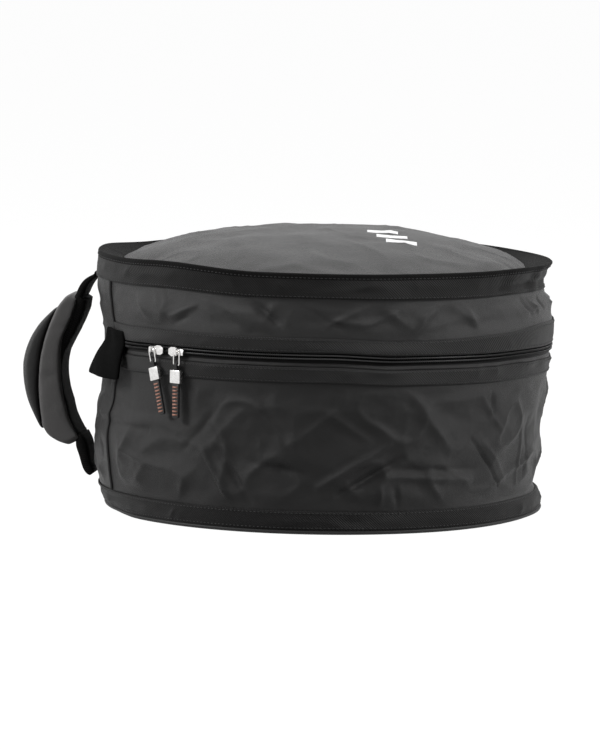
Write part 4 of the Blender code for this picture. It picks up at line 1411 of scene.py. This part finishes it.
# The grip in the side view, as (share of its arc, distance from the arc in metres)
PAD_LOW = -0.030
PAD_HIGH = 0.978
FLAP_SPAN = (0.125, 0.870)
PAD_OUTSIDE = ((-0.030, 0.0050), (-0.023, 0.0125), (0.026, 0.0190), (0.089, 0.0249),
               (0.1475, 0.0262), (0.2025, 0.0236), (0.276, 0.0211), (0.349, 0.0190),
               (0.424, 0.0172), (0.5, 0.0157), (0.595, 0.0142), (0.719, 0.0118),
               (0.831, 0.0103), (0.871, 0.0098), (0.949, 0.0072), (0.978, 0.0040))
FLAP_OUTSIDE = ((0.12, 0.0280), (0.1475, 0.0292), (0.218, 0.0309), (0.2935, 0.0329),
                (0.364, 0.0336), (0.4325, 0.0337), (0.5, 0.0333), (0.5705, 0.0312),
                (0.643, 0.0279), (0.7235, 0.0229), (0.82, 0.0150), (0.871, 0.0114))
# How far the pad and the webbing on it reach inside the arc
PAD_INSIDE = ((-0.030, 0.0), (0.0, 0.0), (0.135, 0.0006), (0.2285, 0.0024), (0.411, 0.0020),
              (0.5, 0.0029), (0.66, 0.0030), (0.75, 0.0047), (0.83, 0.0063), (0.93, 0.0050),
              (0.978, 0.0030))
FOLDED_WEBBING = ((0.0, 0.0014), (0.135, 0.0018), (0.2285, 0.0036), (0.3125, 0.0031),
                  (0.411, 0.0033), (0.5, 0.0041), (0.58, 0.0058), (0.65, 0.0090),
                  (0.74, 0.0122), (0.83, 0.0138), (0.93, 0.0136), (1.0, 0.0104))
# Straps in the side view: (distance from the axis, height, thickness)
UPPER_STRAP = ((0.2026, 0.2030, 0.0030), (0.2038, 0.2000, 0.0032), (0.2072, 0.1974, 0.0046),
               (0.2112, 0.1938, 0.0064), (0.2146, 0.1888, 0.0072), (0.2172, 0.1828, 0.0070),
               (0.2196, 0.1760, 0.0040))
LOWER_STRAP = ((0.2052, 0.0222, 0.0030), (0.2062, 0.0236, 0.0064), (0.2078, 0.0262, 0.0084),
               (0.2098, 0.0306, 0.0092),
               (0.2124, 0.0400, 0.0098), (0.2148, 0.0490, 0.0108), (0.2166, 0.0576, 0.0060))


def way_out(share):
    """The direction away from the bag, square to the grip's arc."""
    _, _, out, up, half_angle = grip_arc()
    a = half_angle * (2 * share - 1)
    return math.cos(a) * out + math.sin(a) * up


def flap_cloth():
    return woven("flap_cloth", 0.0058, 0.0115, TAPE_PITCH, twill_height, 0.42,
                 Specular_IOR_Level=0.28, Sheen_Weight=0.04, Sheen_Roughness=0.5)


# The grip pad's charcoal cloth, made several times lighter: painted light on the pad's lit face.
def grip_cloth():
    return woven("grip_cloth", 0.0740, 0.1000, WEAVE_PITCH, weave_height, 0.42,
                 Specular_IOR_Level=0.28, Sheen_Weight=0.08, Sheen_Roughness=0.5)


def reach_at(stops, share):
    """A straight line between stops along the grip's arc."""
    return float(np.interp(share, *zip(*stops)))


def add_pad_and_flap():
    pad, flap = [], []
    for share in (PAD_LOW, -0.028, -0.023, -0.014, *spread(0.0, 0.950, 0.025), 0.964, PAD_HIGH):
        own = (share - PAD_LOW) / (PAD_HIGH - PAD_LOW)
        end = min(smooth(-0.004, 0.030, own), smooth(1.004, 0.972, own))
        inside = -reach_at(PAD_INSIDE, share)
        outside = reach_at(PAD_OUTSIDE, share)
        half = PAD_HALF * (0.92 + 0.08 * math.sin(math.pi * own)) * (0.86 + 0.14 * end)
        pad.append((grip_point(share, (inside + outside) / 2), way_out(share), half,
                    (outside - inside) / 2, 7.0))
        if FLAP_SPAN[0] <= share <= FLAP_SPAN[1]:
            along = (share - FLAP_SPAN[0]) / (FLAP_SPAN[1] - FLAP_SPAN[0])
            over = reach_at(FLAP_OUTSIDE, share)
            under = outside - 0.0004
            flap.append((grip_point(share, (over + under) / 2), way_out(share),
                         FLAP_HALF * (0.80 + 0.20 * math.sin(math.pi * along) ** 0.5),
                         (over - under) / 2, 2.6))
    # The cushion takes the lighter copy of the charcoal cloth: painted light.
    cushion = soften(puff(stuffed("grip_cushion", pad, grip_cloth), 1.5, -0.06, 0.0012))
    dress(cushion, "grip", "charcoal_cloth", "grip_pad")
    cover = soften(puff(stuffed("grip_cover", flap, flap_cloth), 1.0, -0.04, 0.0005))
    dress(cover, "grip", "twill_band", "grip_flap")


def thick_strap(name, stops):
    """Webbing of one or more layers along stops of (distance, height, thickness)."""
    path = smooth_path([(away, height) for away, height, _ in stops])
    layers = smooth_path([(thickness, 0) for _, _, thickness in stops])
    stations = []
    for i, (point, layer) in enumerate(zip(path, layers)):
        way = (path[min(i + 1, len(path) - 1)] - path[max(i - 1, 0)]).normalized()
        stations.append((point, Vector((way.y, -way.x)), WEBBING_HALF, layer.x / 2, 6.0))
    return stuffed(name, stations, black_webbing)


def add_straps():
    stations = []
    for share in spread(-0.012, 1.0, 0.03):
        inward = reach_at(FOLDED_WEBBING, share)
        middle = grip_point(share, (WEBBING / 2 - inward) / 2)
        stations.append((middle, way_out(share), WEBBING_HALF, (WEBBING / 2 + inward) / 2, 6.0))
    inner = stuffed("grip_webbing", stations, black_webbing)
    dress(inner, "grip", "black_webbing", "handle_webbing")
    upper = thick_strap("upper_strap", UPPER_STRAP)
    finish_dress(upper, "black_webbing", "handle_upper_strap")
    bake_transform(upper)
    lower = thick_strap("lower_strap_webbing", LOWER_STRAP)
    finish_dress(lower, "black_webbing", "handle_lower_strap", "handle_lower_anchor")
    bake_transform(lower)
    fold = [GRIP_LOW + Vector((0.0002, 0.0012)), GRIP_LOW - Vector((0.0002, 0.0024))]
    roll = stuffed("strap_fold", [(point, Vector((1, 0)), WEBBING_HALF - 0.0004, 0.0026, 3.0)
                                  for point in fold], black_webbing)
    dress(roll, "grip", "black_webbing")


# Pale bars on the top cloth, in the camera's directions: right and towards the camera

BAR_COUNT = 3
BAR_START = (0.050, 0.016)
BAR_END = (0.066, 0.074)
BAR_HALF = (0.0135, 0.0078)
BAR_THICKNESS = 0.0004


def add_top_bars():
    azimuth = math.radians(CAMERA_AZIMUTH)
    right = Vector((math.cos(azimuth), math.sin(azimuth), 0))
    near = Vector((math.sin(azimuth), -math.cos(azimuth), 0))
    edge = ZIP_RADIUS - LINING_DEPTH
    for number in range(BAR_COUNT):
        t = number / (BAR_COUNT - 1)
        spot = (right * (BAR_START[0] + (BAR_END[0] - BAR_START[0]) * t)
                + near * (BAR_START[1] + (BAR_END[1] - BAR_START[1]) * t))
        rows = []
        for deep in spread(-1, 1, 0.125):
            row = []
            for aside in spread(-1, 1, 0.08):
                point = spot + right * BAR_HALF[0] * aside - near * BAR_HALF[1] * deep
                angle = math.degrees(math.atan2(-point.y, -point.x))
                height = dome_height(point.length / edge, angle)
                row.append(Vector((point.x, point.y, height + BAR_THICKNESS)))
            rows.append(row)
        name = f"top_bar_{number + 1}"
        bar = new_piece(name, lattice(name, rows), pale_paint)
        coat = bar.modifiers.new("thickness", "SOLIDIFY")
        coat.thickness = BAR_THICKNESS + 0.0003
        coat.offset = -1
        settle(bar)
        dress(bar, "lid", "charcoal_cloth")


bpy.context.scene.view_settings.view_transform = "Standard"
add_camera()
add_world()
add_lamps()
add_floor()
add_wall_cloths()
add_hinge_cloth()
add_bands()
add_rim_hem()
add_foot_piping()
add_seam_pipings()
add_base_pad()
add_bottom_cloth()
add_top_cloth()
add_lid_pad()
STITCH = small_shape("stitch", sphere_primitive, (STITCH_LENGTH / 2, THREAD, THREAD))
TOOTH = small_shape("tooth", tooth_primitive, (COIL_SIZE * 0.45, COIL_SIZE * 0.75, COIL_SIZE))
RIB = small_shape("rib", rib_primitive, (0.0007, 0.0026, 0.0004))
add_wall_stitches(STITCH)
add_zip(TOOTH)
add_tabs()
add_sliders(RIB)
add_pad_and_flap()
add_straps()
add_top_bars()
for small in SMALL_SHAPES:
    bpy.data.objects.remove(small, do_unlink=True)
